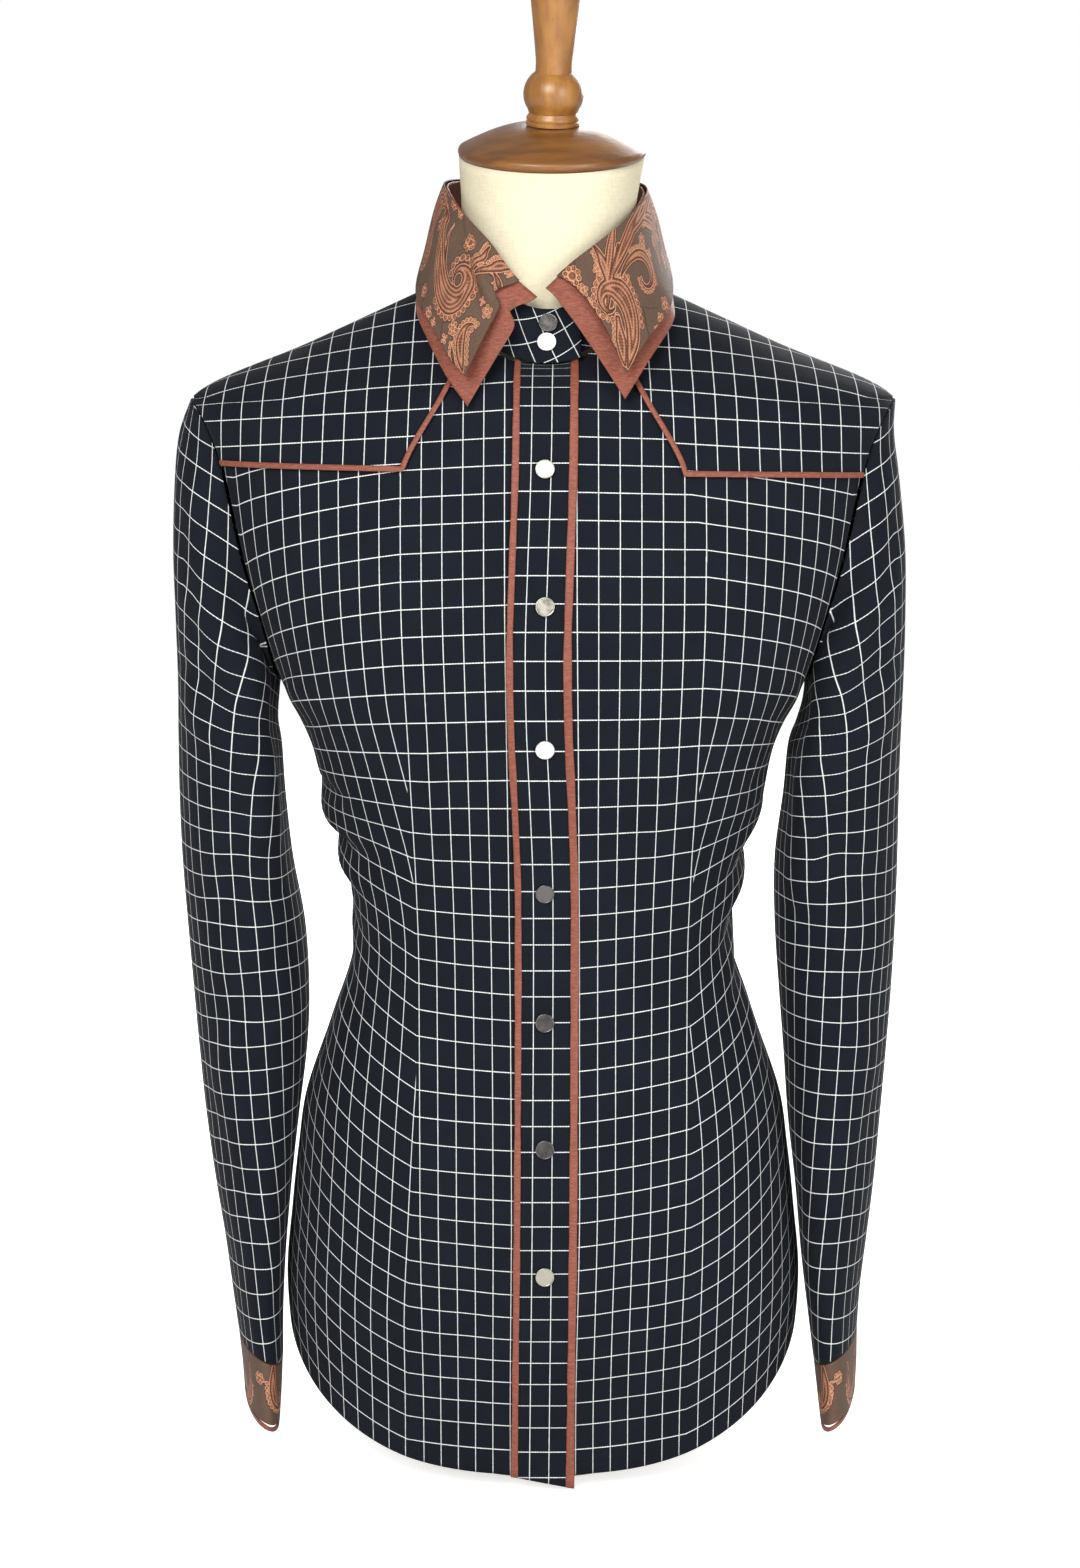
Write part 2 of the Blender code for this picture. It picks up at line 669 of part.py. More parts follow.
def make_form_top(wood):
    """The domed neck cap and the turned finial, both square to the tilted top of the neck."""
    rim, dome = 54.5, 18.0
    rim_low, rim_high, foot = CAP_GAP, 6.0, 15.0
    slope = [
        (foot + (rim - 1.2 - foot) * u, rim_high + (dome - rim_high) * math.cos(u * math.pi / 2))
        for u in (0.0, 0.25, 0.5, 0.75, 1.0)
    ]
    cap = turned(
        "form_neck_cap",
        [(0, dome)] + slope + [(rim, rim_high - 1.4), (rim, rim_low + 1), (rim - 1, rim_low), (0, rim_low)],
        wood,
    )
    base = dome + CAP_GAP
    bulb = [(17.4 * math.sin(a), 17.5 - 16.0 * math.cos(a)) for a in
            [math.radians(d) for d in (142, 125, 108, 90, 72, 58)]]  # fmt: skip
    profile = [(0, 90), (7, 89), (12, 85.5), (14.6, 80), (14.4, 73), (12.4, 55), (10.5, 34.5)]
    profile += bulb + [(14.4, 7), (14.8, 3.5), (15.6, 0.5), (15.6, 0), (0, 0)]
    finial = turned("form_finial", [(r, base + h) for r, h in profile], wood)
    place = Matrix.Translation(CAP_CENTRE * MM) @ Matrix.Rotation(CAP_TILT, 4, "X")
    cap.matrix_world = place
    finial.matrix_world = place @ Matrix.Rotation(CAP_LEAN, 4, "Y")


def make_form_stand(wood):
    """A short post under the torso on a round base, the only part that touches the ground."""
    top, post, base, thick = FORM_BOTTOM_Z - 0.4, 16.0, 75.0, 12.0
    profile = [(0, top), (post, top), (post, thick + 6)]
    profile += arc(post + 6, thick + 6, 6, 180, 270, 3)[1:]
    profile += arc(base - 3, thick - 3, 3, 90, 0, 3)
    profile += [(base, 0), (0, 0)]
    turned("form_stand", profile, wood, steps=40)


def make_collar(check, figured, rust):
    make_collar_stand(check)
    make_collar_leaf("collar_under", "under_edge", 0, 0, UNDER_LEAF_IN, rust)
    starts = TOP_LEAF_START_RIGHT, TOP_LEAF_START_LEFT
    make_collar_leaf("collar_top", "top_edge", *starts, TOP_LEAF_IN, figured)


def main():
    check = new_material("check_cotton", (0.012, 0.015, 0.024), 0.6)
    figured = new_material("figured_jacquard", (0.19, 0.09, 0.055), 0.45)
    rust = new_material("rust_taffeta", (0.33, 0.095, 0.055), 0.42)
    metal = new_material("snap_metal", (0.62, 0.6, 0.55), 0.22, 1.0)
    linen = new_material("form_linen", (0.86, 0.8, 0.64), 0.9)
    wood = new_material("form_wood", (0.32, 0.14, 0.035), 0.35)
    make_fronts_and_back(check)
    make_placket(check, rust)
    for side, name in ((-1, "right"), (1, "left")):
        make_yoke(side, name, check, rust)
        make_sleeve(side, name, check, figured, rust)
    make_collar(check, figured, rust)
    make_snaps(metal)
    make_cuff_snaps(metal)
    make_form_torso(linen)
    make_form_top(wood)
    make_form_stand(wood)


for old in list(bpy.data.objects):
    bpy.data.objects.remove(old)
PARTS = bpy.data.collections.new("western_snap_shirt")
bpy.context.scene.collection.children.link(PARTS)
main()
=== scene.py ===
import json
import math
from collections import namedtuple

import bpy
import numpy as np
from mathutils import Matrix, Vector

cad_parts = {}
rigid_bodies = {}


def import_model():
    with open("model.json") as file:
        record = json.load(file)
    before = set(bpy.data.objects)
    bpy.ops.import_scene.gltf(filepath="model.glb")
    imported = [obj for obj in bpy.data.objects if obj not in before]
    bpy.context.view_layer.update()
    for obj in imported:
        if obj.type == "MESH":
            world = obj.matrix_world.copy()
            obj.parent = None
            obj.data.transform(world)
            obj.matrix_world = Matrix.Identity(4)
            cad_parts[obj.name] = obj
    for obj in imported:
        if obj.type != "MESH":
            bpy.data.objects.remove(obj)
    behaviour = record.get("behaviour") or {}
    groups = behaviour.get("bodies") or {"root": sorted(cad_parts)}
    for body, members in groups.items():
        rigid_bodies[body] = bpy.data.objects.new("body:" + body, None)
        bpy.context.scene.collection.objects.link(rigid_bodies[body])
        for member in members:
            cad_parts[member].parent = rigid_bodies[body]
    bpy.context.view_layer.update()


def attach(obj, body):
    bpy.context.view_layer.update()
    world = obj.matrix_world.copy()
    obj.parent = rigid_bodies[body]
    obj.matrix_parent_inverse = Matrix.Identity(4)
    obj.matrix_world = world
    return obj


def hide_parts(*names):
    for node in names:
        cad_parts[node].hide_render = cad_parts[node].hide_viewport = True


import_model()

MM = 0.001

# Sizes in millimetres, the same as the solids' own.
CLOTH = 0.8  # how thick the cloth is drawn
SEAM_GAP = 0.8
ARMHOLE_GAP = 2.0
LAYER_GAP = 0.4
CLOTH_WALL = 1.2
STAND_LIFT = 2.8
FORM_CLEARANCE = 7.0
SHOULDER_Z = 632.0
ARMPIT_Z = 470.0
NECK_Z = 697.0
YOKE_Z = 594.5
LEFT_YOKE_DROP = 2.7
HEM_LOW = 11.0
HEM_RISE = 76.0
HEM_BEND = 1.1
HEM_BLEND_Z = 120.0
PLACKET_RIGHT = -13.0
PLACKET_LEFT = 15.0
PLACKET_TRIM_RIGHT = 3.4
PLACKET_TRIM_LEFT = 4.3
YOKE_TRIM = 2.5
FAR_FROM_SEAM = 30.0  # where no seam or hem shows in the cloth
STAND_LAP = 2.2
STAND_END_DROP = 1.6
STAND_SNAP_RISES = [12.0, 23.5]
CAP_TILT = math.radians(13.0)
CAP_LEAN = math.radians(1.2)
CAP_CENTRE = Vector((5.2, -6.0, 771.4))
CAP_GAP = 0.4
FORM_BOTTOM_Z = 100.0
GROOVE_END_Z = 535.0  # above this the dart runs over to the yoke's edge



def records(kind, *values):
    """A table's rows, as named tuples."""
    return [kind(*row) for row in values]


Section = namedtuple("Section", "z_front z_side z_back half_width front back power dip x")
BODY = records(
    Section,
    (0, 0, 0, 141, 101, 102, 2.3, 2, 0),
    (50, 50, 50, 150, 103, 107, 2.3, 2, 0),
    (105, 105, 105, 155, 104, 111, 2.3, 2, 0),
    (150, 150, 150, 151.4, 102, 110, 2.3, 2, 0),
    (185, 185, 185, 147.5, 99, 105, 2.3, 2, 0),
    (218, 218, 218, 142.5, 95, 98, 2.3, 2, 0),
    (262, 262, 262, 127.5, 89, 87, 2.3, 2, 0),
    (310, 310, 310, 113, 86, 79, 2.3, 2, 0),
    (358, 358, 358, 119, 91, 81, 2.35, 2, 0),
    (377, 377, 377, 122.5, 94.5, 83, 2.4, 2, 0),
    (394, 394, 394, 129.5, 99, 86, 2.45, 2, 0),
    (430, 430, 430, 137, 109, 92, 2.55, 2, 0),
    (470, 470, 470, 155, 118, 98, 2.65, 2, 0),
    (510, 510, 510, 171, 121, 101, 2.6, 2, 0),
    (550, 550, 550, 184.5, 116, 102, 2.5, 2, 0),
    (597, 597, 600, 195, 105, 100, 2.35, 2, 0),
    (632, 632, 645, 204, 92.5, 90, 2.2, 2, 0),
    (647, 664.5, 687, 133, 80, 75, 2.15, 2, 0),
    (652, 697, 712, 62, 71, 56, 2.1, 2, 0),
)
FORM_NECK = records(
    Section,
    (655, 689, 703, 55, 60, 48, 2.1, 2, 1.0),
    (688, 706, 722, 51.5, 56, 46, 2.05, 1.5, 2.0),
    (722, 738, 751, 50.5, 54.5, 45, 2.0, 1, 3.0),
    (759.4, 772.8, 783.4, 54, 58, 46, 2.0, 1, 5.0),
)
STAND_TOP = Section(684, 736, 749, 56.0, 61, 50, 2.1, 2, 2.6)

Edge = namedtuple("Edge", "z x")
ARMHOLE = records(
    Edge,
    (470, 155), (486, 157.5), (502, 161), (537, 171), (570, 178.5),
    (597, 185), (615, 191.5), (626, 198), (632, 204),
)  # fmt: skip
DART_LINE = records(
    Edge,
    (0, 81), (560, 81), (YOKE_Z, 79.5), (632, 59), (664.5, 48.5), (697, 37),
)  # fmt: skip

SleeveRing = namedtuple(
    "SleeveRing", "right_outer left_outer outer_z right_inner left_inner inner_z half_depth y yaw"
)
SLEEVE = records(
    SleeveRing,
    (213, 205.5, 613, 156, 155.5, 465.5, 51, 0, 0),
    (216, 209, 586, 156.5, 155.5, 461, 55, 0, 0),
    (217.5, 213, 545, 157, 155, 455.5, 57.5, 0, 0),
    (217, 214, 505, 157.5, 153.5, 449, 58.5, 1, 1),
    (216.5, 213.8, 468, 157.5, 150.5, 440, 59, 2, 2),
    (217, 213, 434, 155.5, 146, 427, 59, 3, 3),
    (217, 212.5, 398, 153.6, 143.2, 398, 58.5, 3, 4),
    (215.8, 212.2, 360, 149.6, 138.6, 360, 58, 3, 4),
    (213, 211.2, 320, 142.6, 138.9, 320, 57.5, 2, 4),
    (209.8, 209.2, 280, 140.4, 141.8, 280, 57, 0, 5),
    (206.8, 206.6, 245, 142, 144.6, 245, 56, -2, 5),
    (203, 203.4, 205, 147.2, 147.6, 205, 55, -4, 6),
    (197.8, 200, 165, 152, 152.4, 165, 54, -6, 7),
    (192, 195.7, 128, 156, 156.4, 124, 53, -8, 8),
    (188, 192, 98, 157.8, 160.6, 90, 52, -10, 8),
    (184.6, 190.2, 72, 158.2, 164.4, 61, 51, -11, 8),
)
CUFF = records(
    SleeveRing,
    (184.4, 190.2, 71, 158.4, 164.6, 60, 51, -11, 8),
    (182.2, 190.1, 50, 159.4, 167, 40, 50.5, -11.5, 8),
    (181, 189.4, 33, 160.6, 169, 23.5, 50, -12, 8),
)
CUFF_TRIM = records(
    SleeveRing,
    (181, 189.2, 31.8, 160.7, 169.2, 22.3, 50, -12, 8),
    (180.6, 188.4, 29, 161, 169.6, 19.5, 49.8, -12, 8),
)
SLEEVE_POWER = 2.2

CollarStation = namedtuple("CollarStation", "fold under_edge top_edge")
COLLAR_RIGHT = records(
    CollarStation,
    ((3.5, -71, 692), (42.4, -101, 630), (43.6, -104, 647)),
    ((16.5, -67, 703), (54, -89, 645), (52.5, -91, 657)),
    ((31, -54, 722.5), (66.5, -66, 666.5), (63.5, -68, 675)),
    ((46.5, -30, 738.5), (74.5, -40, 683.5), (72.5, -40, 690)),
    ((55, -9, 750), (73.5, -4, 700), (72.5, -4, 705)),
    ((57.5, 14, 757.5), (70, 33, 709), (69, 33, 714)),
    ((47, 40, 760), (54, 62, 716), (53.5, 62, 720.5)),
    ((25, 53, 760), (28, 76, 718), (27.5, 76, 722.5)),
    ((0, 57, 760), (0, 80, 719), (0, 80, 723.5)),
)
COLLAR_LEFT = records(
    CollarStation,
    ((1.5, -72, 697), (45.7, -101, 634), (46, -104, 648.5)),
    ((15, -66, 709), (59.7, -88, 655), (57, -90, 665)),
    ((34.5, -55, 724), (74.5, -58, 675.5), (71, -60, 683)),
    ((46.5, -41, 733.5), (76.3, -38, 686.5), (74.3, -38, 693)),
    ((56, -17, 743.5), (75.5, -4, 700), (74.5, -4, 705)),
    ((60.5, 14, 754.5), (73, 33, 709), (72, 33, 714)),
    ((50, 39, 759), (57, 61, 716), (56.5, 61, 720.5)),
    ((27, 53, 760), (30, 76, 718), (29.5, 76, 722.5)),
    ((0, 57, 760), (0, 80, 719), (0, 80, 723.5)),
)
COLLAR_BULGE = 2.5
# How far the front edges of the leaves bow outwards, and how far they are nipped in below the fold.
COLLAR_BOW = {"under_edge": {-1: 1.5, 1: 2.5}, "top_edge": {-1: 2.0, 1: 7.5}}
COLLAR_NIP = {-1: 9.0, 1: 0.0}
NIP_SHARE = 0.13
UNDER_LEAF_IN = 2.6
TOP_LEAF_IN = 0.5
TOP_LEAF_START = {-1: 0.8, 1: 0.5}

# The check. Level lines are numbered down the placket from the neck; upright lines are numbered
# outwards on each front, five spaces from the first to the one beside the dart.
LevelLine = namedtuple("LevelLine", "z line")
LEVEL_LINES = records(
    LevelLine,
    (-5, 43), (10, 42), (40.5, 40), (105.7, 35),
    (174.1, 30), (247.4, 25), (322.8, 20), (403.8, 15),
    (489.8, 10), (567.8, 5), (644.4, 0), (721, -5),
)  # fmt: skip
Upright = namedtuple(
    "Upright", "z right_first right_fifth right_dart left_first left_fifth left_dart cell"
)
UPRIGHTS = records(
    Upright,
    (0, 19.1, 69.6, 79.5, 29.0, 79.5, 83.7, 10.6),
    (60, 19.1, 69.8, 79.0, 29.2, 79.9, 84.0, 10.7),
    (155, 18.3, 71.2, 77.2, 31.2, 82.6, 85.8, 10.8),
    (208, 18.4, 71.4, 74.5, 31.4, 83.2, 85.8, 10.8),
    (270, 18.8, 71.8, 73.4, 31.4, 83.6, 85.4, 10.8),
    (330, 19.4, 72.4, 74.0, 31.4, 84.4, 86.0, 10.8),
    (430, 20.5, 76, 78.0, 31.2, 88.0, 89.8, 11.4),
    (520, 21.5, 79.5, 80.5, 30.9, 90.9, 92.0, 12.0),
    (697, 21.5, 79.5, 80.5, 30.9, 90.9, 92.0, 12.0),
)
# How many upright lines have run into the dart from its outer side.
Eaten = namedtuple("Eaten", "z right left")
EATEN = records(
    Eaten,
    (0, 0.90, 0.88), (60, 0.94, 0.90), (105, 1.0, 0.93), (155, 1.3, 0.97),
    (208, 1.58, 1.12), (300, 2.15, 2.1), (345, 2.0, 2.0), (403, 1.0, 1.0),
    (450, 0.15, 0.15), (480, 0, 0), (697, 0, 0),
)  # fmt: skip
# How far a level line has risen from the placket to the dart, then how fast it rises outside the
# dart and how that steepens over each 100 mm.
Rise = namedtuple("Rise", "z right_dart right_slope right_bend left_dart left_slope left_bend")
RISES = records(
    Rise,
    (0, 4, 0.32, 0.20, 5, 0.32, 0.20),
    (60, 3, 0.33, 0.22, 7, 0.33, 0.22),
    (130, 5, 0.33, 0.22, 9, 0.33, 0.20),
    (200, 3, 0.45, 0.12, 10, 0.38, 0.18),
    (290, 5, 0.50, 0.0, 8, 0.50, 0.0),
    (330, 3, 0.44, 0.0, 6, 0.44, 0.0),
    (375, 1, 0.30, 0.0, 4, 0.26, 0.0),
    (405, -1, 0.05, 0.0, 2, 0.05, 0.0),
    (430, -3, -0.03, -0.04, 1, -0.04, -0.05),
    (460, -3, -0.07, -0.07, 0, -0.08, -0.10),
    (510, -4, -0.12, -0.10, -1, -0.14, -0.08),
    (590, -4, -0.14, -0.05, -2, -0.16, 0.0),
    (697, -4, -0.14, -0.05, -2, -0.16, 0.0),
)
BackRise = namedtuple("BackRise", "z edge")
BACK_RISES = records(
    BackRise,
    (0, 34), (120, 34), (250, 24), (340, 8), (420, -4),
    (520, -10), (640, -14),
)  # fmt: skip
PlacketShift = namedtuple("PlacketShift", "z x")
PLACKET_SHIFT = records(
    PlacketShift,
    (4, -1.8), (60, -1.2), (175, 0), (349, 0.6),
    (400, -1), (450, -3.2), (496, -3.8), (540, -2.5),
    (595, -0.6), (655, 0.2), (697, 0.5),
)  # fmt: skip
PLACKET_UPRIGHT = -6.2  # the first upright line on the placket
PLACKET_CELL = 11.2

# Creases of the body, soft ridges and troughs. `around` is measured along a level line from the
# centre front, positive to the wearer's left. Height is out of the cloth, negative for a trough.
Fold = namedtuple("Fold", "around_a z_a around_b z_b bow height width")
BODY_FOLDS = records(
    Fold,
    # Wearer's right waist, pinched at the side and dragging down towards the centre.
    (-210, 404, -92, 380, -6, 3.4, 5.5),
    (-200, 414, -118, 404, -4, -3.0, 5),
    (-205, 391, -96, 366, -5, -3.6, 5.5),
    (-200, 378, -104, 350, -4, 2.8, 6),
    (-200, 366, -110, 335, -3, -2.4, 6),
    (-190, 352, -118, 318, -3, -2.2, 7),
    (-180, 338, -120, 292, -2, 1.8, 8),
    (-170, 408, -120, 396, 3, -1.6, 7),
    (-158, 322, -112, 262, 0, -1.2, 9),
    (-150, 300, -132, 225, 2, 1.2, 9),
    # Wearer's left waist.
    (200, 400, 108, 372, 5, 2.6, 6.5),
    (205, 386, 112, 352, 5, -3.0, 6),
    (205, 372, 118, 334, 4, 2.8, 6.5),
    (198, 356, 112, 308, 3, -2.6, 7.5),
    (190, 342, 118, 286, 3, 2.0, 8),
    (180, 325, 108, 262, 0, -1.4, 9),
    (165, 300, 140, 220, -3, 1.4, 9),
    (170, 418, 125, 402, -3, -1.4, 7),
    # Under the arms.
    (-190, 455, -138, 470, 4, 1.6, 8),
    (-185, 440, -130, 446, 3, -1.4, 8),
    (190, 452, 140, 474, -4, 1.8, 8),
    (186, 436, 132, 450, -3, -1.4, 8),
    # Slack below the bust and over the hips.
    (-70, 445, -62, 345, 2, -0.9, 10),
    (74, 440, 66, 350, -2, -0.9, 10),
    (-125, 205, -132, 60, -4, 1.1, 13),
    (120, 215, 128, 55, 5, 1.2, 13),
    (-48, 160, -44, 30, 2, 0.8, 12),
    (52, 175, 47, 28, -2, 0.9, 12),
    # The back: sway folds above the hips and one from each shoulder blade.
    (-345, 372, -215, 386, 5, 2.4, 8),
    (-330, 350, -210, 360, 4, -2.4, 8),
    (-335, 328, -215, 336, 3, 2.0, 9),
    (340, 378, 212, 382, -4, 2.2, 8),
    (335, 356, 214, 352, -3, -2.2, 8),
    (325, 330, 216, 330, -3, 1.8, 9),
    (-275, 560, -240, 430, 4, 1.6, 13),
    (280, 570, 244, 425, -4, 1.6, 13),
    (-300, 210, -285, 50, 5, 1.6, 16),
    (305, 220, 292, 45, -5, 1.6, 16),
)
# Creases of the sleeves. `around` runs from the sleeve's outer line, positive over its front.
SLEEVE_FOLDS = {
    -1: records(
        Fold,
        (88, 515, 100, 345, 0, -8.0, 15),
        (40, 575, 66, 440, 4, 2.2, 9),
        (40, 520, 118, 452, 5, -2.0, 8),
        (30, 486, 112, 428, 6, 2.2, 8),
        (36, 456, 108, 404, 5, -1.8, 8),
        (95, 430, 60, 330, 4, 1.4, 11),
        (115, 380, 45, 322, -4, 1.5, 11),
        (118, 350, 50, 286, -4, -1.4, 12),
        (112, 318, 38, 252, -3, 1.2, 12),
        (100, 285, 30, 215, -3, -0.9, 12),
        (20, 250, 62, 120, 5, 1.2, 11),
        (80, 210, 66, 100, 3, -1.2, 10),
        (-60, 540, -110, 460, -5, 1.8, 10),
        (-40, 380, -110, 330, 5, -1.8, 10),
        (-35, 350, -112, 296, 5, 2.0, 9),
        (-40, 250, -70, 110, 4, 1.4, 12),
    ),
    1: records(
        Fold,
        (88, 515, 102, 335, 0, -8.0, 15),
        (40, 578, 68, 440, 4, 2.2, 9),
        (36, 528, 120, 458, 5, -2.0, 8),
        (26, 492, 116, 432, 6, 2.2, 8),
        (40, 452, 110, 402, 5, -2.0, 8),
        (98, 440, 70, 345, 4, 1.8, 9),
        (118, 392, 40, 336, -4, 1.5, 11),
        (116, 360, 44, 300, -4, -1.4, 12),
        (110, 326, 36, 262, -3, 1.1, 12),
        (96, 292, 28, 226, -3, -0.9, 12),
        (24, 245, 58, 115, 5, 1.3, 11),
        (84, 220, 70, 95, 3, -1.3, 10),
        (-62, 545, -108, 465, -5, 1.8, 10),
        (-42, 384, -112, 336, 5, -1.8, 10),
        (-38, 352, -110, 300, 5, 2.0, 9),
        (-42, 246, -72, 108, 4, 1.4, 12),
    ),
}


# --- Numbers ---------------------------------------------------------------------------------


def hermite(start, end, leave, arrive, u):
    """A curve from start to end that sets off along `leave` and comes in along `arrive`."""
    return (
        (2 * u**3 - 3 * u**2 + 1) * start
        + (u**3 - 2 * u**2 + u) * leave
        + (3 * u**2 - 2 * u**3) * end
        + (u**3 - u**2) * arrive
    )


def blend(rows, key, at):
    """Every column of a table, smoothly interpolated where its column `key` equals `at`."""
    table = np.array(rows, float)
    keys = table[:, rows[0]._fields.index(key)]
    at = np.clip(np.asarray(at, float), keys[0], keys[-1])
    i = np.clip(np.searchsorted(keys, at, side="right") - 1, 0, len(keys) - 2)
    every = np.arange(len(keys))
    low, high = np.maximum(every - 1, 0), np.minimum(every + 1, len(keys) - 1)
    slopes = (table[high] - table[low]) / (keys[high] - keys[low])[:, None]
    span = (keys[i + 1] - keys[i])[..., None]
    u = (at - keys[i])[..., None] / span
    values = hermite(table[i], table[i + 1], slopes[i] * span, slopes[i + 1] * span, u)
    return type(rows[0])(*np.moveaxis(values, -1, 0))


def of_side(record, side, part=""):
    """A column that a table holds for each side, such as right_dart and left_dart."""
    return getattr(record, ("right" if side < 0 else "left") + part)


def closed(rings):
    """Rings with their first column repeated at the end."""
    return np.concatenate([rings, rings[:, :1]], axis=1)


def distances(points):
    """Distance along each row of points from its first one."""
    steps = np.linalg.norm(np.diff(points, axis=-2), axis=-1)
    return np.cumsum(np.insert(steps, 0, 0.0, axis=-1), axis=-1)


def curve_through(points, steps_for):
    """Smooth curves through points or rings; steps_for gives the steps between two of them."""
    p = np.array(points, float)
    p = np.concatenate([2 * p[:1] - p[1:2], p, 2 * p[-1:] - p[-2:-1]])
    out = []
    for a, b, c, d in zip(p, p[1:], p[2:], p[3:]):
        steps = steps_for(b, c)
        out += [hermite(b, c, (c - a) / 2, (d - b) / 2, t) for t in np.arange(steps) / steps]
    return np.array(out + [p[-2]])


def signed_power(value, power):
    return np.sign(value) * np.abs(value) ** power


def unit(v):
    return v / np.maximum(np.linalg.norm(v, axis=-1, keepdims=True), 1e-9)


def ring_point(section, angle):
    s, c = np.sin(angle), np.cos(angle)
    depth = np.where(c > 0, section.front, section.back)
    end_z = np.where(c > 0, section.z_front, section.z_back)
    x = section.x + section.half_width * signed_power(s, 2 / section.power)
    y = -depth * signed_power(c, 2 / section.power)
    z = section.z_side + (end_z - section.z_side) * np.abs(c) ** section.dip
    return np.stack(np.broadcast_arrays(x, y, z), axis=-1)


def body_point(angle, height):
    return ring_point(blend(BODY, "z_side", height), angle)


def body_normal(angle, height):
    step_angle, step_height = 0.004, 1.5
    high = np.minimum(height + step_height, NECK_Z)
    round_it = body_point(angle + step_angle, height) - body_point(angle - step_angle, height)
    up = body_point(angle, high) - body_point(angle, high - 2 * step_height)
    return unit(np.cross(round_it, up))


def angle_of_x(x, height):
    section = blend(BODY, "z_side", height)
    share = np.minimum(np.abs(x) / section.half_width, 1.0)
    return np.sign(x) * np.arcsin(share ** (section.power / 2))


def outer_angle(height, back=False):
    """Where a panel ends: at the side seam, the armhole or the shoulder seam."""
    section = blend(BODY, "z_side", height)
    seam = np.arccos((SEAM_GAP / 2 / section.front) ** (section.power / 2))
    armhole = angle_of_x(blend(ARMHOLE, "z", height).x, height)
    open_here = (height > ARMPIT_Z) & (height < SHOULDER_Z)
    angle = np.where(open_here, armhole, seam)
    return math.pi - angle if back else angle


def dart_x(height):
    return blend(DART_LINE, "z", height).x


def groove_x(side, height):
    """The dart's line: the groove up to the bust, then over to the yoke's slanting edge."""
    groove = of_side(blend(UPRIGHTS, "z", height), side, "_dart")
    return groove + (dart_x(height) - groove) * smooth(height, GROOVE_END_Z, YOKE_Z)


def hem_z(angle):
    return HEM_LOW + HEM_RISE * (1 - np.abs(np.cos(angle))) ** HEM_BEND


ARC_STEP = 4.0
ARC_ANGLES = np.linspace(0, math.pi, 241)
ARC_HEIGHTS = np.arange(0, NECK_Z + ARC_STEP, ARC_STEP)
ARCS = distances(body_point(*np.meshgrid(ARC_ANGLES, ARC_HEIGHTS))[..., :2])


def around(angle, height):
    """Distance from the centre front along a level line, positive to the wearer's left."""
    angle = np.mod(np.asarray(angle, float) + math.pi, 2 * math.pi) - math.pi
    side = np.where(angle < 0, -1.0, 1.0)
    i = np.clip(height / ARC_STEP, 0, len(ARC_HEIGHTS) - 1.001)
    j = np.clip(np.abs(angle) / ARC_ANGLES[1], 0, len(ARC_ANGLES) - 1.001)
    i, j = np.broadcast_arrays(i, j)
    a, b = i.astype(int), j.astype(int)
    s, t = i - a, j - b
    low = ARCS[a, b] * (1 - t) + ARCS[a, b + 1] * t
    high = ARCS[a + 1, b] * (1 - t) + ARCS[a + 1, b + 1] * t
    return side * (low * (1 - s) + high * s)


def crease(folds, across, z):
    """How far the folds move each point out, in millimetres."""
    total = np.zeros(np.broadcast(across, z).shape)
    for fold in folds:
        dx, dz = fold.around_b - fold.around_a, fold.z_b - fold.z_a
        length = math.hypot(dx, dz)
        rx, rz = across - fold.around_a, z - fold.z_a
        along = np.clip((rx * dx + rz * dz) / length**2, 0, 1)
        beside = (rz * dx - rx * dz) / length - fold.bow * 4 * along * (1 - along)
        taper = np.sin(math.pi * along) ** 0.8
        total += fold.height * taper * np.exp(-((beside / fold.width) ** 2))
    return total


def on_body(angle, height, away=0.0):
    """Points of the worn shirt's body, moved out by `away` and by the creases."""
    out = away + crease(BODY_FOLDS, around(angle, height), height)
    return body_point(angle, height) + body_normal(angle, height) * out[..., None]


def smooth(value, low, high):
    t = np.clip((value - low) / (high - low), 0, 1)
    return t * t * (3 - 2 * t)


# --- The check's coordinates -----------------------------------------------------------------


def level_line(z):
    return blend(LEVEL_LINES, "z", z).line


def front_check(side, angle, height, outside=True):
    """Numbers of the upright and the level lines at points of a front, on one side of the dart."""
    point = body_point(angle, height)
    x, z = np.abs(point[..., 0]), point[..., 2]
    uprights, rise = blend(UPRIGHTS, "z", z), blend(RISES, "z", z)
    first, fifth = (of_side(uprights, side, part) for part in ("_first", "_fifth"))
    at_dart, slope, bend = (of_side(rise, side, part) for part in ("_dart", "_slope", "_bend"))
    lost = of_side(blend(EATEN, "z", z), side)
    signed = around(angle, height)
    s = np.abs(signed)
    groove = groove_x(side, z)
    s_dart = around(angle_of_x(groove, height), height)
    past = s - s_dart
    steep = np.clip(past, 0, 110)
    up = at_dart * np.clip(s / s_dart, 0, 1) ** 1.3 + slope * steep + bend * steep**2 / 100
    inner = 5 * (x - first) / (fifth - first)
    outer = 5 * (groove - first) / (fifth - first) + past / uprights.cell + lost
    u = np.where((past > 1e-4) | ((past > -1e-4) & outside), outer, inner)
    pull = crease(BODY_FOLDS, signed, height)
    return np.stack([side * (u + 0.05 * pull), level_line(z - up) + 0.07 * pull], axis=-1)


# --- Meshes ----------------------------------------------------------------------------------


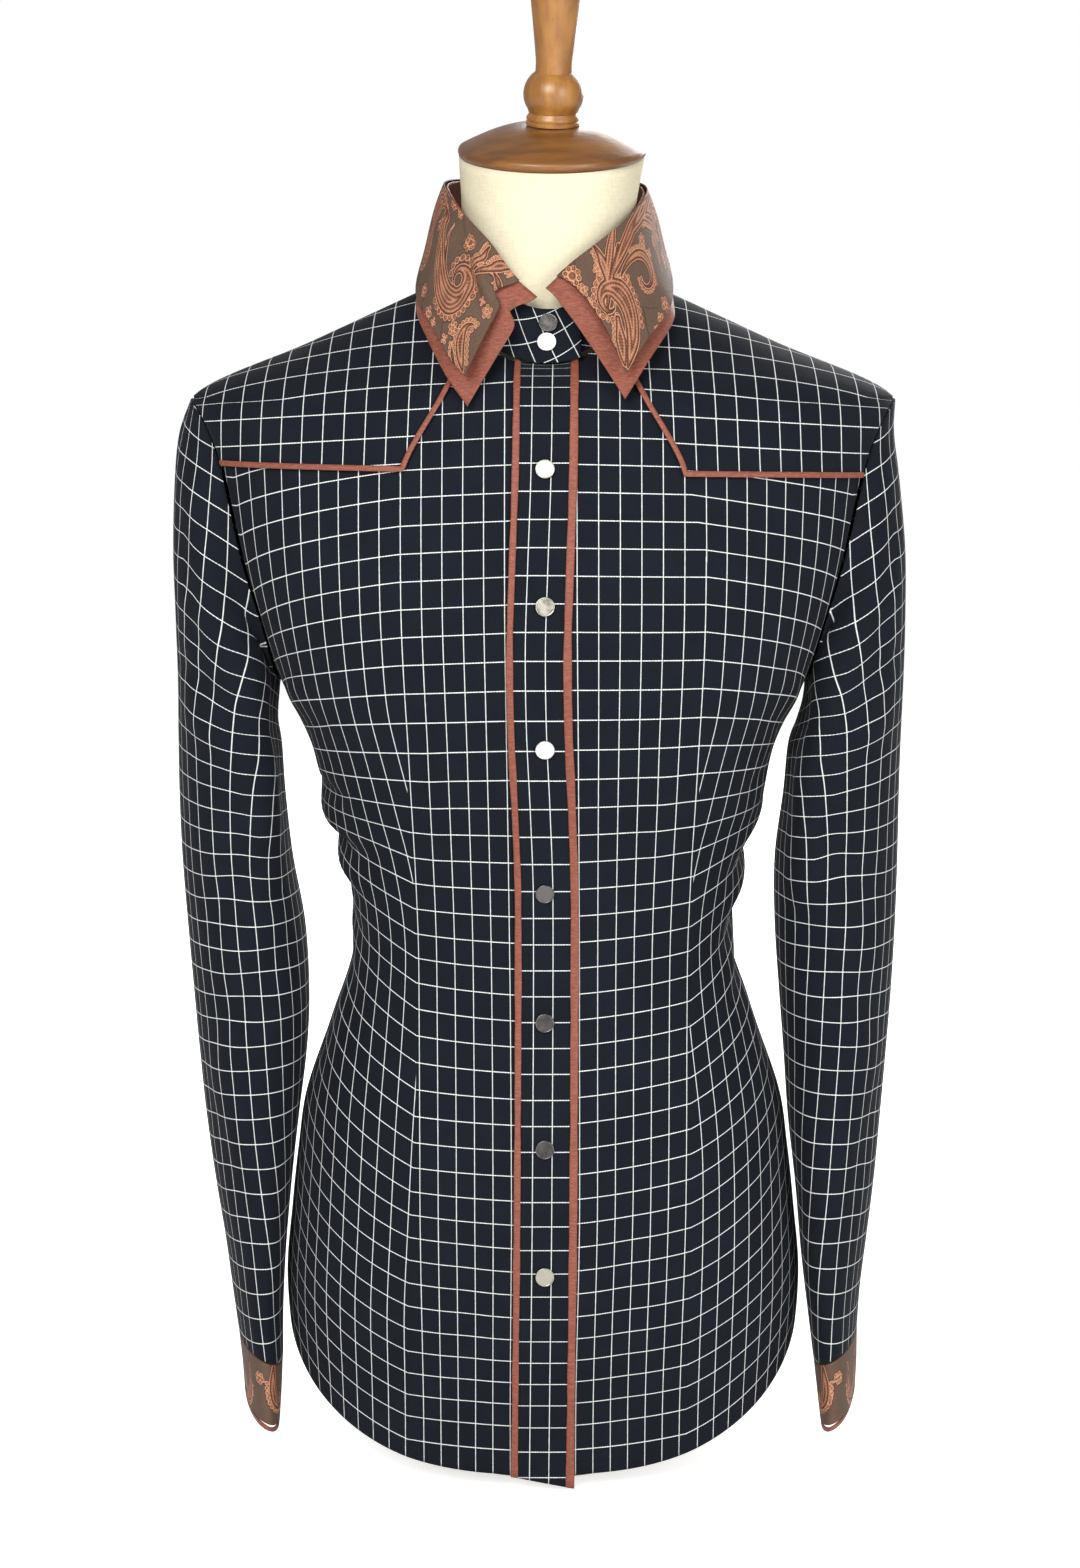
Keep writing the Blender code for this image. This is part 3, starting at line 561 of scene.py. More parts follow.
def mesh_piece(name, points, material, layers=None, wrap=False, flip=False, ends=False, split=None):
    """A mesh through rows of points in millimetres. Layers are UV values for the same rows; split is a
    column where the check jumps, and the values for the faces before it."""
    points = np.asarray(points, float)
    rows, columns = points.shape[:2]
    r, c = np.meshgrid(np.arange(rows - 1), np.arange(columns if wrap else columns - 1), indexing="ij")
    r, c = r.ravel(), c.ravel()
    corners = np.array([(r, c), (r, c + 1), (r + 1, c + 1), (r + 1, c)])
    if flip:
        corners = corners[::-1]
    index = corners[:, 0] * columns + corners[:, 1] % columns
    faces = index.T.tolist()
    quads = len(faces)
    if ends:
        first = list(range(columns))
        last = [(rows - 1) * columns + i for i in range(columns)]
        faces += [first if flip else first[::-1], last[::-1] if flip else last]
    mesh = bpy.data.meshes.new(name)
    mesh.from_pydata((points.reshape(-1, 3) * MM).tolist(), [], faces)
    for key, values in (layers or {}).items():
        layer = mesh.uv_layers.new(name=key)
        per_loop = np.zeros((len(mesh.loops), 2), np.float32)
        found = values[corners[:, 0], np.minimum(corners[:, 1], values.shape[1] - 1)]
        if split and key == "cloth":
            column, before = split
            here = (corners[:, 1] == column) & (c[None, :] == column - 1)
            found[here] = before[corners[:, 0][here]]
        per_loop[: quads * 4] = found.transpose(1, 0, 2).reshape(-1, 2)
        layer.data.foreach_set("uv", per_loop.ravel())
    mesh.polygons.foreach_set("use_smooth", [True] * quads + [False] * (len(faces) - quads))
    mesh.materials.append(material)
    made = bpy.data.objects.new(name, mesh)
    bpy.context.scene.collection.objects.link(made)
    return made


def thicken(made, wall=CLOTH, outward=False):
    solidify = made.modifiers.new("wall", "SOLIDIFY")
    solidify.thickness = wall * MM
    solidify.offset = 1.0 if outward else -1.0
    return made


def place(made, node):
    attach(made, "root")
    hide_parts(node)
    return made


def cloth(name, node, points, material, layers=None, wall=CLOTH, outward=False, **mesh):
    """A shell of cloth in place of a CAD node."""
    made = thicken(mesh_piece(name, points, material, layers, **mesh), wall, outward)
    return place(made, node)


def turned(name, profile, material, steps=96, smooth_angle=40):
    """A turned piece: (radius, height) pairs in millimetres, top to bottom."""
    angles = np.arange(steps) * 2 * math.pi / steps
    profile = np.array([pair for pair in profile if pair[0] > 1e-6], float)
    ring = np.stack([np.cos(angles), np.sin(angles)], axis=-1)
    points = np.zeros((len(profile), steps, 3))
    points[..., :2] = profile[:, None, :1] * ring
    points[..., 2] = profile[:, None, 1]
    made = mesh_piece(name, points, material, wrap=True, flip=True, ends=True)
    made.data.polygons.foreach_set("use_smooth", [True] * len(made.data.polygons))
    made.data.set_sharp_from_angle(angle=math.radians(smooth_angle))
    return made


def rounded(profile, steps=6):
    """A smooth curve through (radius, height) pairs that stays off the axis."""
    return [(max(r, 0.02), h) for r, h in curve_through(profile, lambda start, end: steps)]


# --- Materials -------------------------------------------------------------------------------


class Nodes:
    """A short way to write a material's nodes."""

    def __init__(self, name, **sockets):
        self.material = bpy.data.materials.new(name)
        self.material.use_nodes = True
        self.tree = self.material.node_tree
        self.shader = self.tree.nodes["Principled BSDF"]
        for key, value in sockets.items():
            self.shader.inputs[key.replace("_", " ")].default_value = value

    def add(self, kind, inputs=(), **settings):
        node = self.tree.nodes.new(kind)
        for key, value in settings.items():
            setattr(node, key, value)
        for key, value in dict(inputs).items():
            self.put(node.inputs[key], value)
        return node

    def put(self, socket, value):
        if isinstance(value, bpy.types.NodeSocket):
            self.tree.links.new(value, socket)
        else:
            socket.default_value = value

    def math(self, operation, a, b=0.0, c=0.0):
        return self.add("ShaderNodeMath", {0: a, 1: b, 2: c}, operation=operation).outputs[0]

    def times(self, a, b):
        return self.math("MULTIPLY", a, b)

    def plus(self, total, *others):
        for other in others:
            total = self.math("ADD", total, other)
        return total

    def uv(self, layer):
        found = self.add("ShaderNodeUVMap", uv_map=layer).outputs[0]
        split = self.add("ShaderNodeSeparateXYZ", {0: found})
        return split.outputs[0], split.outputs[1]

    def step(self, value, low, high, start=0.0, end=1.0):
        """Smoothly from start below low to end above high."""
        node = self.add("ShaderNodeMapRange", {0: value, 1: low, 2: high, 3: start, 4: end})
        node.interpolation_type = "SMOOTHSTEP"
        return node.outputs[0]

    def near(self, value, low, high, height=1.0):
        """`height` close to where the value is 0, and 0 further than high from there."""
        return self.step(self.math("ABSOLUTE", value), low, high, height, 0.0)

    def noise(self, scale, detail=2.0, roughness=0.5, vector=None):
        inputs = {"Scale": scale, "Detail": detail, "Roughness": roughness}
        inputs["Vector"] = self.here() if vector is None else vector
        return self.add("ShaderNodeTexNoise", inputs).outputs[0]

    def here(self, scale=(1, 1, 1)):
        place_here = self.add("ShaderNodeTexCoord").outputs["Object"]
        return self.add("ShaderNodeMapping", {"Vector": place_here, "Scale": scale}).outputs[0]

    def mix(self, share, a, b):
        node = self.add("ShaderNodeMix", data_type="RGBA")
        for index, value in ((0, share), (6, a), (7, b)):
            self.put(node.inputs[index], value)
        return node.outputs[2]

    def bump(self, height, distance, strength=1.0):
        node = self.add("ShaderNodeBump", {"Height": height, "Distance": distance, "Strength": strength})
        self.put(self.shader.inputs["Normal"], node.outputs[0])

    def colour(self, value):
        self.put(self.shader.inputs["Base Color"], value)


NAVY = (0.0050, 0.0066, 0.0108, 1)
NAVY_LIGHT = (0.0085, 0.0118, 0.0185, 1)
LINE_WHITE = (0.72, 0.74, 0.72, 1)
CELL_MM = (11.4, 14.9)
LINE_MM = 0.52


def check_cotton():
    """Navy twill with fine off-white lines; the level ones look like a row of small teeth."""
    n = Nodes("check_cotton", Roughness=0.82, Specular_IOR_Level=0.10, Sheen_Weight=0.02, Sheen_Roughness=0.5)
    u, v = n.uv("cloth")
    mm_u, mm_v = n.times(u, CELL_MM[0]), n.times(v, CELL_MM[1])
    wander = n.math("MULTIPLY_ADD", n.noise(260.0), 0.5, -0.25)
    tooth = n.math("MULTIPLY_ADD", n.math("PINGPONG", n.times(mm_u, 0.62), 0.5), 0.55, -0.14)
    across = n.plus(n.times(n.math("PINGPONG", u, 0.5), CELL_MM[0]), n.times(wander, 0.22))
    upright = n.step(across, LINE_MM * 0.34, LINE_MM * 0.60, 1.0, 0.0)
    down = n.times(n.math("PINGPONG", v, 0.5), CELL_MM[1])
    down = n.plus(down, n.times(wander, 0.25), n.times(tooth, 0.55))
    level = n.step(down, LINE_MM * 0.30, LINE_MM * 0.62, 1.0, 0.0)
    twill = n.math("SINE", n.times(n.plus(mm_u, n.times(mm_v, -1.1)), 6.3))
    thread = n.math("MULTIPLY_ADD", twill, 0.12, 0.88)
    white = n.math("MAXIMUM", n.times(upright, thread), level)
    cloudy = n.step(n.noise(38.0, 4.0), 0.3, 0.75, 0.05, 0.45)
    ground = n.mix(n.math("MULTIPLY_ADD", twill, 0.22, cloudy), NAVY, NAVY_LIGHT)
    n.colour(n.mix(white, ground, LINE_WHITE))
    seam_x, seam_z = n.uv("seam")
    dart = n.step(n.math("ABSOLUTE", seam_x), 0.25, 1.3, -0.6, 0.0)
    hem = n.near(n.math("SUBTRACT", seam_z, 7.0), 0.3, 1.1, -0.5)
    puckers = n.times(n.noise(170.0), n.step(seam_z, 6.0, 12.0, 0.5, 0.0))
    height = n.plus(n.times(twill, 0.05), n.times(white, 0.08), n.plus(dart, n.plus(hem, puckers)))
    n.bump(n.plus(height, n.times(n.noise(45.0, 3.0), 1.1)), 0.0006)
    return n.material


def rust_taffeta():
    """Slubby rust taffeta, lighter and darker along its slubs, with small bright specks painted in as glints.
    """
    n = Nodes("rust_taffeta", Roughness=0.5, Specular_IOR_Level=0.35, Sheen_Weight=0.12)
    n.shader.inputs["Sheen Tint"].default_value = (1.0, 0.62, 0.5, 1)
    slub = n.noise(1.0, 3.0, 0.6, vector=n.here((260, 260, 1500)))
    glint_speck = n.noise(1.0, 2.0, 0.5, vector=n.here((900, 900, 1600)))
    ground = n.mix(n.step(slub, 0.3, 0.72), (0.17, 0.043, 0.025, 1), (0.29, 0.086, 0.052, 1))
    # Painted glints: small specks of lighter rust mixed into the colour.
    bright = n.times(n.step(glint_speck, 0.66, 0.78), 0.5)
    n.colour(n.mix(bright, ground, (0.62, 0.28, 0.17, 1)))
    n.bump(n.plus(n.times(slub, 0.8), glint_speck), 0.0003)
    return n.material


def figured_jacquard():
    """Taupe ground with copper curls: outlined bodies, ribs inside them and beads beside them."""
    n = Nodes("figured_jacquard", Roughness=0.6, Specular_IOR_Level=0.14)
    wobble = n.math("MULTIPLY_ADD", n.noise(420.0, 3.0, 0.6), 0.8, -0.40)
    away, along = n.uv("figure")
    away = n.plus(away, n.times(wobble, 0.7))
    bead, size = n.uv("beads")
    bead = n.plus(bead, n.times(wobble, 0.35))
    inside = n.step(away, -0.1, 0.1, 1.0, 0.0)
    in_bead = n.times(n.step(bead, -0.1, 0.1, 1.0, 0.0), n.math("SUBTRACT", 1.0, inside))
    rib = n.math("COSINE", n.times(away, 2 * math.pi / 2.5))
    dash = n.math("COSINE", n.times(along, 2 * math.pi / 1.7))
    ribbed = n.math("MULTIPLY_ADD", dash, 0.16, n.math("MULTIPLY_ADD", rib, 0.5, 0.5))
    edge = n.near(n.plus(away, 0.30), 0.12, 0.42)
    inner_dark = n.times(n.near(n.plus(away, 1.0), 0.15, 0.42), inside)
    round_dark = n.near(n.math("SUBTRACT", away, 0.25), 0.1, 0.35, 0.75)
    rim = n.times(n.near(n.plus(bead, 0.32), 0.12, 0.36), in_bead)
    centre = n.times(n.step(n.plus(bead, size), 0.25, 0.7, 1.0, 0.0), in_bead)
    bead_dark = n.near(n.math("SUBTRACT", bead, 0.2), 0.08, 0.32, 0.6)
    taupe = n.mix(n.noise(60.0, 3.0), (0.108, 0.066, 0.046, 1), (0.145, 0.090, 0.063, 1))
    copper = n.mix(n.step(ribbed, 0.62, 0.95), (0.25, 0.103, 0.060, 1), (0.50, 0.235, 0.138, 1))
    copper = n.mix(n.step(ribbed, 0.0, 0.24, 0.85, 0.0), copper, (0.065, 0.028, 0.018, 1))
    colour = n.mix(n.math("MAXIMUM", round_dark, bead_dark), taupe, (0.045, 0.022, 0.015, 1))
    colour = n.mix(in_bead, colour, (0.19, 0.078, 0.046, 1))
    colour = n.mix(inside, colour, copper)
    colour = n.mix(n.times(inner_dark, 0.8), colour, (0.060, 0.027, 0.018, 1))
    colour = n.mix(n.math("MAXIMUM", rim, n.math("MAXIMUM", centre, edge)), colour, (0.60, 0.29, 0.17, 1))
    grain = n.noise(1.0, 2.0, 0.6, vector=n.here((1400, 1400, 2600)))
    n.colour(n.mix(n.step(grain, 0.35, 0.75, 0.0, 0.4), colour, (0.030, 0.015, 0.010, 1)))
    raised = n.math("MAXIMUM", inside, in_bead)
    height = n.plus(n.times(raised, 0.6), n.times(edge, 0.4))
    height = n.plus(height, n.plus(n.times(rib, 0.2), n.times(grain, 0.4)))
    n.bump(height, 0.00035)
    return n.material


def canvas():
    """The form's cream cloth, a plain weave."""
    n = Nodes("form_linen", Roughness=0.9, Specular_IOR_Level=0.2)
    warp = n.noise(1.0, 2.0, 0.5, vector=n.here((1300, 1300, 160)))
    weft = n.noise(1.0, 2.0, 0.5, vector=n.here((160, 160, 1300)))
    weave = n.plus(warp, weft)
    stain = n.noise(14.0, 3.0)
    base = n.mix(n.step(stain, 0.3, 0.8), (0.74, 0.68, 0.50, 1), (0.68, 0.61, 0.43, 1))
    n.colour(n.mix(n.step(weave, 0.75, 1.3, 0.0, 0.35), base, (0.58, 0.51, 0.34, 1)))
    n.bump(weave, 0.0003)
    return n.material


def turned_wood(name, light, dark, grain_scale):
    n = Nodes(name, Roughness=0.38, Specular_IOR_Level=0.5, Coat_Weight=0.35, Coat_Roughness=0.28)
    where = n.here(grain_scale)
    streak = n.noise(1.0, 5.0, 0.6, vector=where)
    pores = n.noise(4.0, 3.0, 0.7, vector=where)
    tone = n.mix(n.step(streak, 0.3, 0.72), dark, light)
    deep = (dark[0] * 0.45, dark[1] * 0.42, dark[2] * 0.4, 1)
    n.colour(n.mix(n.step(pores, 0.55, 0.8, 0.0, 0.55), tone, deep))
    n.bump(n.plus(pores, n.times(streak, 0.4)), 0.00025)
    return n.material


def nickel(name, colour, roughness):
    n = Nodes(name, Metallic=1.0, Roughness=roughness, Base_Color=colour)
    worn = n.noise(220.0, 2.0)
    n.put(n.shader.inputs["Roughness"], n.step(worn, 0.3, 0.7, roughness * 0.8, roughness * 1.3))
    return n.material


CHECK = check_cotton()
RUST = rust_taffeta()
FIGURED = figured_jacquard()
LINEN = canvas()
CAP_WOOD = turned_wood("cap_wood", (0.27, 0.105, 0.018, 1), (0.115, 0.042, 0.008, 1), (14, 60, 120))
POST_WOOD = turned_wood("finial_wood", (0.40, 0.180, 0.036, 1), (0.23, 0.090, 0.016, 1), (110, 110, 12))
# One nickel in three base colours, as painted reflections: near white for a cap that mirrors white, darker
# for caps that mirror something dark, the plain one between.
SNAP_METALS = {
    "bright": nickel("snap_nickel_painted_bright_reflection", (0.92, 0.91, 0.89, 1), 0.42),
    "plain": nickel("snap_nickel", (0.50, 0.47, 0.40, 1), 0.30),
    "dark": nickel("snap_nickel_painted_dark_reflection", (0.16, 0.15, 0.15, 1), 0.22),
}


# --- Body panels -----------------------------------------------------------------------------

LEVELS = np.linspace(HEM_BLEND_Z, NECK_Z, 186)
HEM_SHARES = np.linspace(0, 1, 36)[:-1]


def panel_heights(low):
    """Heights of every row of a panel: from its own hem up to HEM_BLEND_Z, and level from there."""
    hem = low + HEM_SHARES[:, None] * (HEM_BLEND_Z - low)
    return np.concatenate([hem, np.repeat(LEVELS[:, None], len(low), axis=1)])


def far_seam(shape):
    return np.full((*shape, 2), FAR_FROM_SEAM)


def front_angles(side, shares, height, inner_x):
    inner = angle_of_x(inner_x(height), height)
    dart = angle_of_x(groove_x(side, height), height)
    to_dart = inner + (dart - inner) * shares
    return np.where(shares <= 1, to_dart, dart + (outer_angle(height) - dart) * (shares - 1))


def placket_shift(height):
    return blend(PLACKET_SHIFT, "z", height).x


def make_front(side, name, inner_x):
    """One front; inner_x gives its inner edge at each height."""
    at = 31  # the column on the dart's line, where the check jumps
    shares = np.concatenate([np.linspace(0, 1, at + 1)[:-1], np.linspace(1, 2, 48)])
    low_angles = front_angles(side, shares, np.full(shares.shape, HEM_BLEND_Z), inner_x)
    heights = panel_heights(hem_z(low_angles))
    angles = front_angles(side, shares[None, :], heights, inner_x)
    points = on_body(side * angles, heights)
    seam_x = around(angles, heights) - around(angle_of_x(groove_x(side, heights), heights), heights)
    seam_x = np.where(heights > DART_TOP_Z, FAR_FROM_SEAM, seam_x)
    seam = np.stack([seam_x, heights - hem_z(angles)], -1)
    layers = {"cloth": front_check(side, angles * side, heights), "seam": seam}
    before = front_check(side, angles[:, at] * side, heights[:, at], outside=False)
    cloth(f"shirt_{name}", name, points, CHECK, layers, flip=side < 0, split=(at, before))


DART_TOP_Z = 450.0  # the sewn dart's line stops here
BACK_SLOPE_Z = 600.0  # where the back starts to slope in towards the neck


def back_angles(shares, height):
    return math.pi + (math.pi - outer_angle(height, back=True)) * shares


def make_back():
    shares = np.linspace(-1, 1, 150)
    heights = panel_heights(hem_z(back_angles(shares, np.full(shares.shape, HEM_BLEND_Z))))
    angles = back_angles(shares[None, :], heights)
    points = on_body(angles, heights)
    s = around(angles, heights)
    half = np.abs(around(np.full(heights.shape, math.pi - 1e-6), heights))
    from_back = np.where(s >= 0, half - s, -half - s)
    edge = half - around(outer_angle(heights), heights)
    lift = blend(BACK_RISES, "z", heights).edge * np.clip(np.abs(from_back) / edge, 0, 1) ** 2
    flat_rows = (heights < BACK_SLOPE_Z).sum(axis=0).max()
    climb = np.cumsum(np.linalg.norm(np.diff(points, axis=0, prepend=points[:1]), axis=-1), axis=0)
    climb = np.maximum(climb - climb[flat_rows], 0)
    lines = level_line(np.minimum(heights, heights[flat_rows]) - lift) - climb / CELL_MM[1]
    v = lines + 0.3 + 0.075 * crease(BODY_FOLDS, s, heights)
    check = np.stack([from_back / blend(UPRIGHTS, "z", heights).cell + 0.5, v], -1)
    seam = np.stack([np.full(heights.shape, FAR_FROM_SEAM), heights - hem_z(angles)], -1)
    cloth("shirt_back", "back", points, CHECK, {"cloth": check, "seam": seam})


def placket_hem(x):
    return 7.0 - 0.2 * x


def strip(name, node, left_x, right_x, columns, material, away=2 * LAYER_GAP, uneven=0.0, crown=0.0):
    """A band up the centre front, lying on the panels, with its own hem."""
    across = np.linspace(0, 1, columns + 1)
    x = left_x + (right_x - left_x) * across
    low = placket_hem(x)
    heights = panel_heights(low)
    shift = placket_shift(heights)
    wave = uneven * (np.sin(heights / 9.3) + np.sin(heights / 23.7 + 1.3) + 0.7 * np.sin(heights / 5.1))
    angles = angle_of_x(x[None, :] + shift + wave * (across[None, :] - 0.5), heights)
    points = on_body(angles, heights, away + crown * np.sin(math.pi * across)[None, :])
    u = (points[..., 0] - PLACKET_UPRIGHT - shift) / PLACKET_CELL
    seam = np.stack([np.full(heights.shape, FAR_FROM_SEAM), heights - low[None, :]], -1)
    layers = {"cloth": np.stack([u, level_line(heights)], -1), "seam": seam}
    cloth(name, node, points, material, layers, outward=True)


def make_placket():
    strip("shirt_placket", "placket", PLACKET_RIGHT, PLACKET_LEFT, 14, CHECK)
    right, left = PLACKET_RIGHT - 0.2, PLACKET_LEFT + 0.2
    for name, low_x, high_x in (
        ("right", right - PLACKET_TRIM_RIGHT, right), ("left", left, left + PLACKET_TRIM_LEFT)
    ):  # fmt: skip
        trim, node = f"trim_placket_{name}", f"placket_piping_{name}"
        strip(trim, node, low_x, high_x, 6, RUST, uneven=0.22, crown=0.35)


def yoke_check(side, points):
    """The yokes are cut with their level lines climbing a little towards the neck."""
    x = np.abs(points[..., 0])
    rise = np.diff(points[..., 1:], axis=0, prepend=points[:1, :, 1:])
    z = points[:1, :, 2] + np.cumsum(np.linalg.norm(rise, axis=-1), axis=0)
    lean = 0.07
    start = 4.2 if side < 0 else 1.5
    u = (x + 0.03 * (z - 600) - start) / 12.0
    v = (z + lean * (x - 80)) / -15.2
    return np.stack([side * u, v + (0.35 if side < 0 else 0.1)], -1)


def make_yoke(side, name):
    """The wearer's left yoke ends a little lower than the right one, and its edge falls outwards."""
    shares = np.linspace(0, 1, 48)[None, :]
    low = YOKE_Z - (LEFT_YOKE_DROP * (1 + shares) if side > 0 else 0 * shares)
    heights = low + (NECK_Z - low) * np.linspace(0, 1, 36)[:, None]
    dart = angle_of_x(dart_x(heights), heights)
    angles = dart + (outer_angle(heights) - dart - 0.006) * shares
    points = on_body(side * angles, heights, 2 * LAYER_GAP)
    layers = {"cloth": yoke_check(side, points), "seam": far_seam(heights.shape)}
    cloth(f"shirt_yoke_{name}", f"yoke_{name}", points, CHECK, layers, outward=True, flip=side < 0)
    make_yoke_trim(side, name)


def make_yoke_trim(side, name):
    """Down the slanting edge from the neck to the dart line, then along the yoke's lower edge."""
    low_z = YOKE_Z - 0.8 - (LEFT_YOKE_DROP if side > 0 else 0)
    outward_rise = 1.6 if side < 0 else -LEFT_YOKE_DROP
    down = np.linspace(NECK_Z, low_z + 2, 50)
    x = dart_x(down) + 0.3
    low = [np.stack([angle_of_x(x - YOKE_TRIM, down), down], -1)]
    high = [np.stack([angle_of_x(x, down), down], -1)]
    for line, z, first in ((low, low_z, 78.4), (high, low_z + YOKE_TRIM, 80.4)):
        start, end = angle_of_x(first, z), outer_angle(np.array(z)) - 0.02
        share = np.linspace(0, 1, 56)
        line.append(np.stack([start + (end - start) * share, z + outward_rise * share], -1))
    low, high = np.concatenate(low), np.concatenate(high)
    across = np.linspace(0, 1, 7)
    grid = np.array([low * (1 - t) + high * t for t in across])
    crown = 0.45 * np.sin(math.pi * across)[:, None]
    points = on_body(side * grid[..., 0], grid[..., 1], 4.6 * LAYER_GAP + crown)
    cloth(f"trim_yoke_{name}", f"yoke_piping_{name}", points, RUST, outward=True, flip=side < 0)


# --- Sleeves ---------------------------------------------------------------------------------

SIDES = 96
TURNS = np.arange(SIDES) * 2 * math.pi / SIDES


def sleeve_ring(row, side):
    outer = np.array((of_side(row, side, "_outer"), row.y, row.outer_z), float)
    inner = np.array((of_side(row, side, "_inner"), row.y, row.inner_z), float)
    centre, half = (outer + inner) / 2, (outer - inner) / 2
    yaw = math.radians(row.yaw)
    forward = np.array((-math.sin(yaw), -math.cos(yaw), 0)) * row.half_depth
    c = signed_power(np.cos(TURNS), 2 / SLEEVE_POWER)[:, None]
    s = signed_power(np.sin(TURNS), 2 / SLEEVE_POWER)[:, None]
    return (centre + half * c + forward * s) * np.array((side, 1, 1))


def armhole_ring(side):
    middle, half = (SHOULDER_Z + ARMPIT_Z) / 2, (SHOULDER_Z - ARMPIT_Z) / 2
    height = middle + half * np.cos(TURNS)
    angle = angle_of_x(blend(ARMHOLE, "z", height).x, height)
    angle = np.where(np.sin(TURNS) < 0, math.pi - angle, angle)
    point = body_point(angle, height)
    point[:, 0] += ARMHOLE_GAP
    return point * np.array((side, 1, 1))


def loft(rings, steps_mm):
    """Rings blended by curves through each one's points, about steps_mm apart."""

    def steps_for(start, end):
        span = np.linalg.norm((end - start).mean(axis=0))
        spread = np.linalg.norm(end - start, axis=-1).max()
        return max(1, int(round(max(span, spread * 0.7) / steps_mm)))

    return curve_through(rings, steps_for)


def tube_normals(points):
    across = np.roll(points, -1, axis=1) - np.roll(points, 1, axis=1)
    down = np.gradient(points, axis=0)
    return unit(np.cross(down, across))


def ring_distances(points):
    """Distance round each ring from its outer point, with the first point repeated at the end."""
    return distances(closed(points))


SleeveWay = namedtuple("SleeveWay", "z slope steep lean cell")
# How fast the level lines fall away from the sleeve's outer line, how much faster past the middle of
# its front, how far the upright ones lean towards the armhole, in millimetres, and how far apart
# they are.
SLEEVE_WAYS = records(
    SleeveWay,
    (60, -0.05, 0, 0, 10.0), (200, -0.06, 0, 0, 10.4), (300, -0.02, 0, 0, 10.8),
    (370, 0.05, 0, 0, 11.0), (430, 0.12, 0.16, 0, 11.2), (480, 0.20, 0.38, 5, 11.2),
    (530, 0.25, 0.34, 13, 11.2), (600, 0.27, 0.10, 22, 11.2), (640, 0.27, 0, 26, 11.2),
)  # fmt: skip
LEAN_REACH = 30.0
STEEP_FROM = 45.0
UPRIGHT_ROW = SLEEVE[5]  # above this ring the sleeve's slanting rings are measured by this one


def sleeve_front(points, side):
    """Distance round the sleeve from its outer line, positive over its front, level lines unrolled.
    The first point of each ring is repeated at the end."""
    level = ring_distances(points * np.array((1, 1, 0)))
    own = np.where(level > level[:, -1:] / 2, level - level[:, -1:], level)
    outer, inner = of_side(UPRIGHT_ROW, side, "_outer"), of_side(UPRIGHT_ROW, side, "_inner")
    x, y, z = np.moveaxis(closed(points), -1, 0)
    out = (x * side - (outer + inner) / 2) / ((outer - inner) / 2)
    forward = (UPRIGHT_ROW.y - y) / UPRIGHT_ROW.half_depth
    half_power = SLEEVE_POWER / 2
    turn = np.arctan2(signed_power(forward, half_power), signed_power(out, half_power))
    row = sleeve_ring(UPRIGHT_ROW, side)[None] * np.array((1, 1, 0))
    half = SIDES // 2 + 1
    shared = np.sign(turn) * np.interp(np.abs(turn), TURNS[:half], ring_distances(row)[0, :half])
    both = own + (shared - own) * smooth(z, 425, 475)
    return np.where(np.abs(shared - own) > 60, own, both)


def make_sleeve(side, name):
    points = loft([armhole_ring(side)] + [sleeve_ring(row, side) for row in SLEEVE], 3.0)
    front = sleeve_front(points, side)
    out = crease(SLEEVE_FOLDS[side], front[:, :-1], points[..., 2])
    ease = smooth(np.arange(len(points)), 0, 8)[:, None]
    moved = points + tube_normals(points) * side * (out * ease)[..., None]
    z = closed(points)[..., 2]
    way = blend(SLEEVE_WAYS, "z", z)
    far = np.abs(front)
    steep = way.steep * np.maximum(far - STEEP_FROM, 0)
    run = np.sign(front) * (far - way.lean * far / (far + LEAN_REACH) - 0.5 * steep)
    v = (z + way.slope * far + steep) / -CELL_MM[1] + 0.05 * np.clip(closed(out), -2.5, 2.5)
    layers = {"cloth": np.stack([run / way.cell + 0.35, v], -1), "seam": far_seam(z.shape)}
    cloth(f"shirt_sleeve_{name}", f"sleeve_{name}", moved, CHECK, layers, wrap=True, flip=side < 0)


def make_cuff(side, name):
    band, trim = (loft([sleeve_ring(row, side) for row in rows], 1.2) for rows in (CUFF, CUFF_TRIM))
    flat = np.stack([ring_distances(band), closed(band)[..., 2]], -1)
    figure = figure_fields(flat, CUFF_MOTIFS, CUFF_ROSETTES)
    shape = dict(wall=1.0, wrap=True, flip=side < 0)
    cloth(f"cuff_band_{name}", f"cuff_{name}", band, FIGURED, figure, **shape)
    cloth(f"trim_cuff_{name}", f"cuff_trim_{name}", trim, RUST, **shape)


# --- Collar ----------------------------------------------------------------------------------

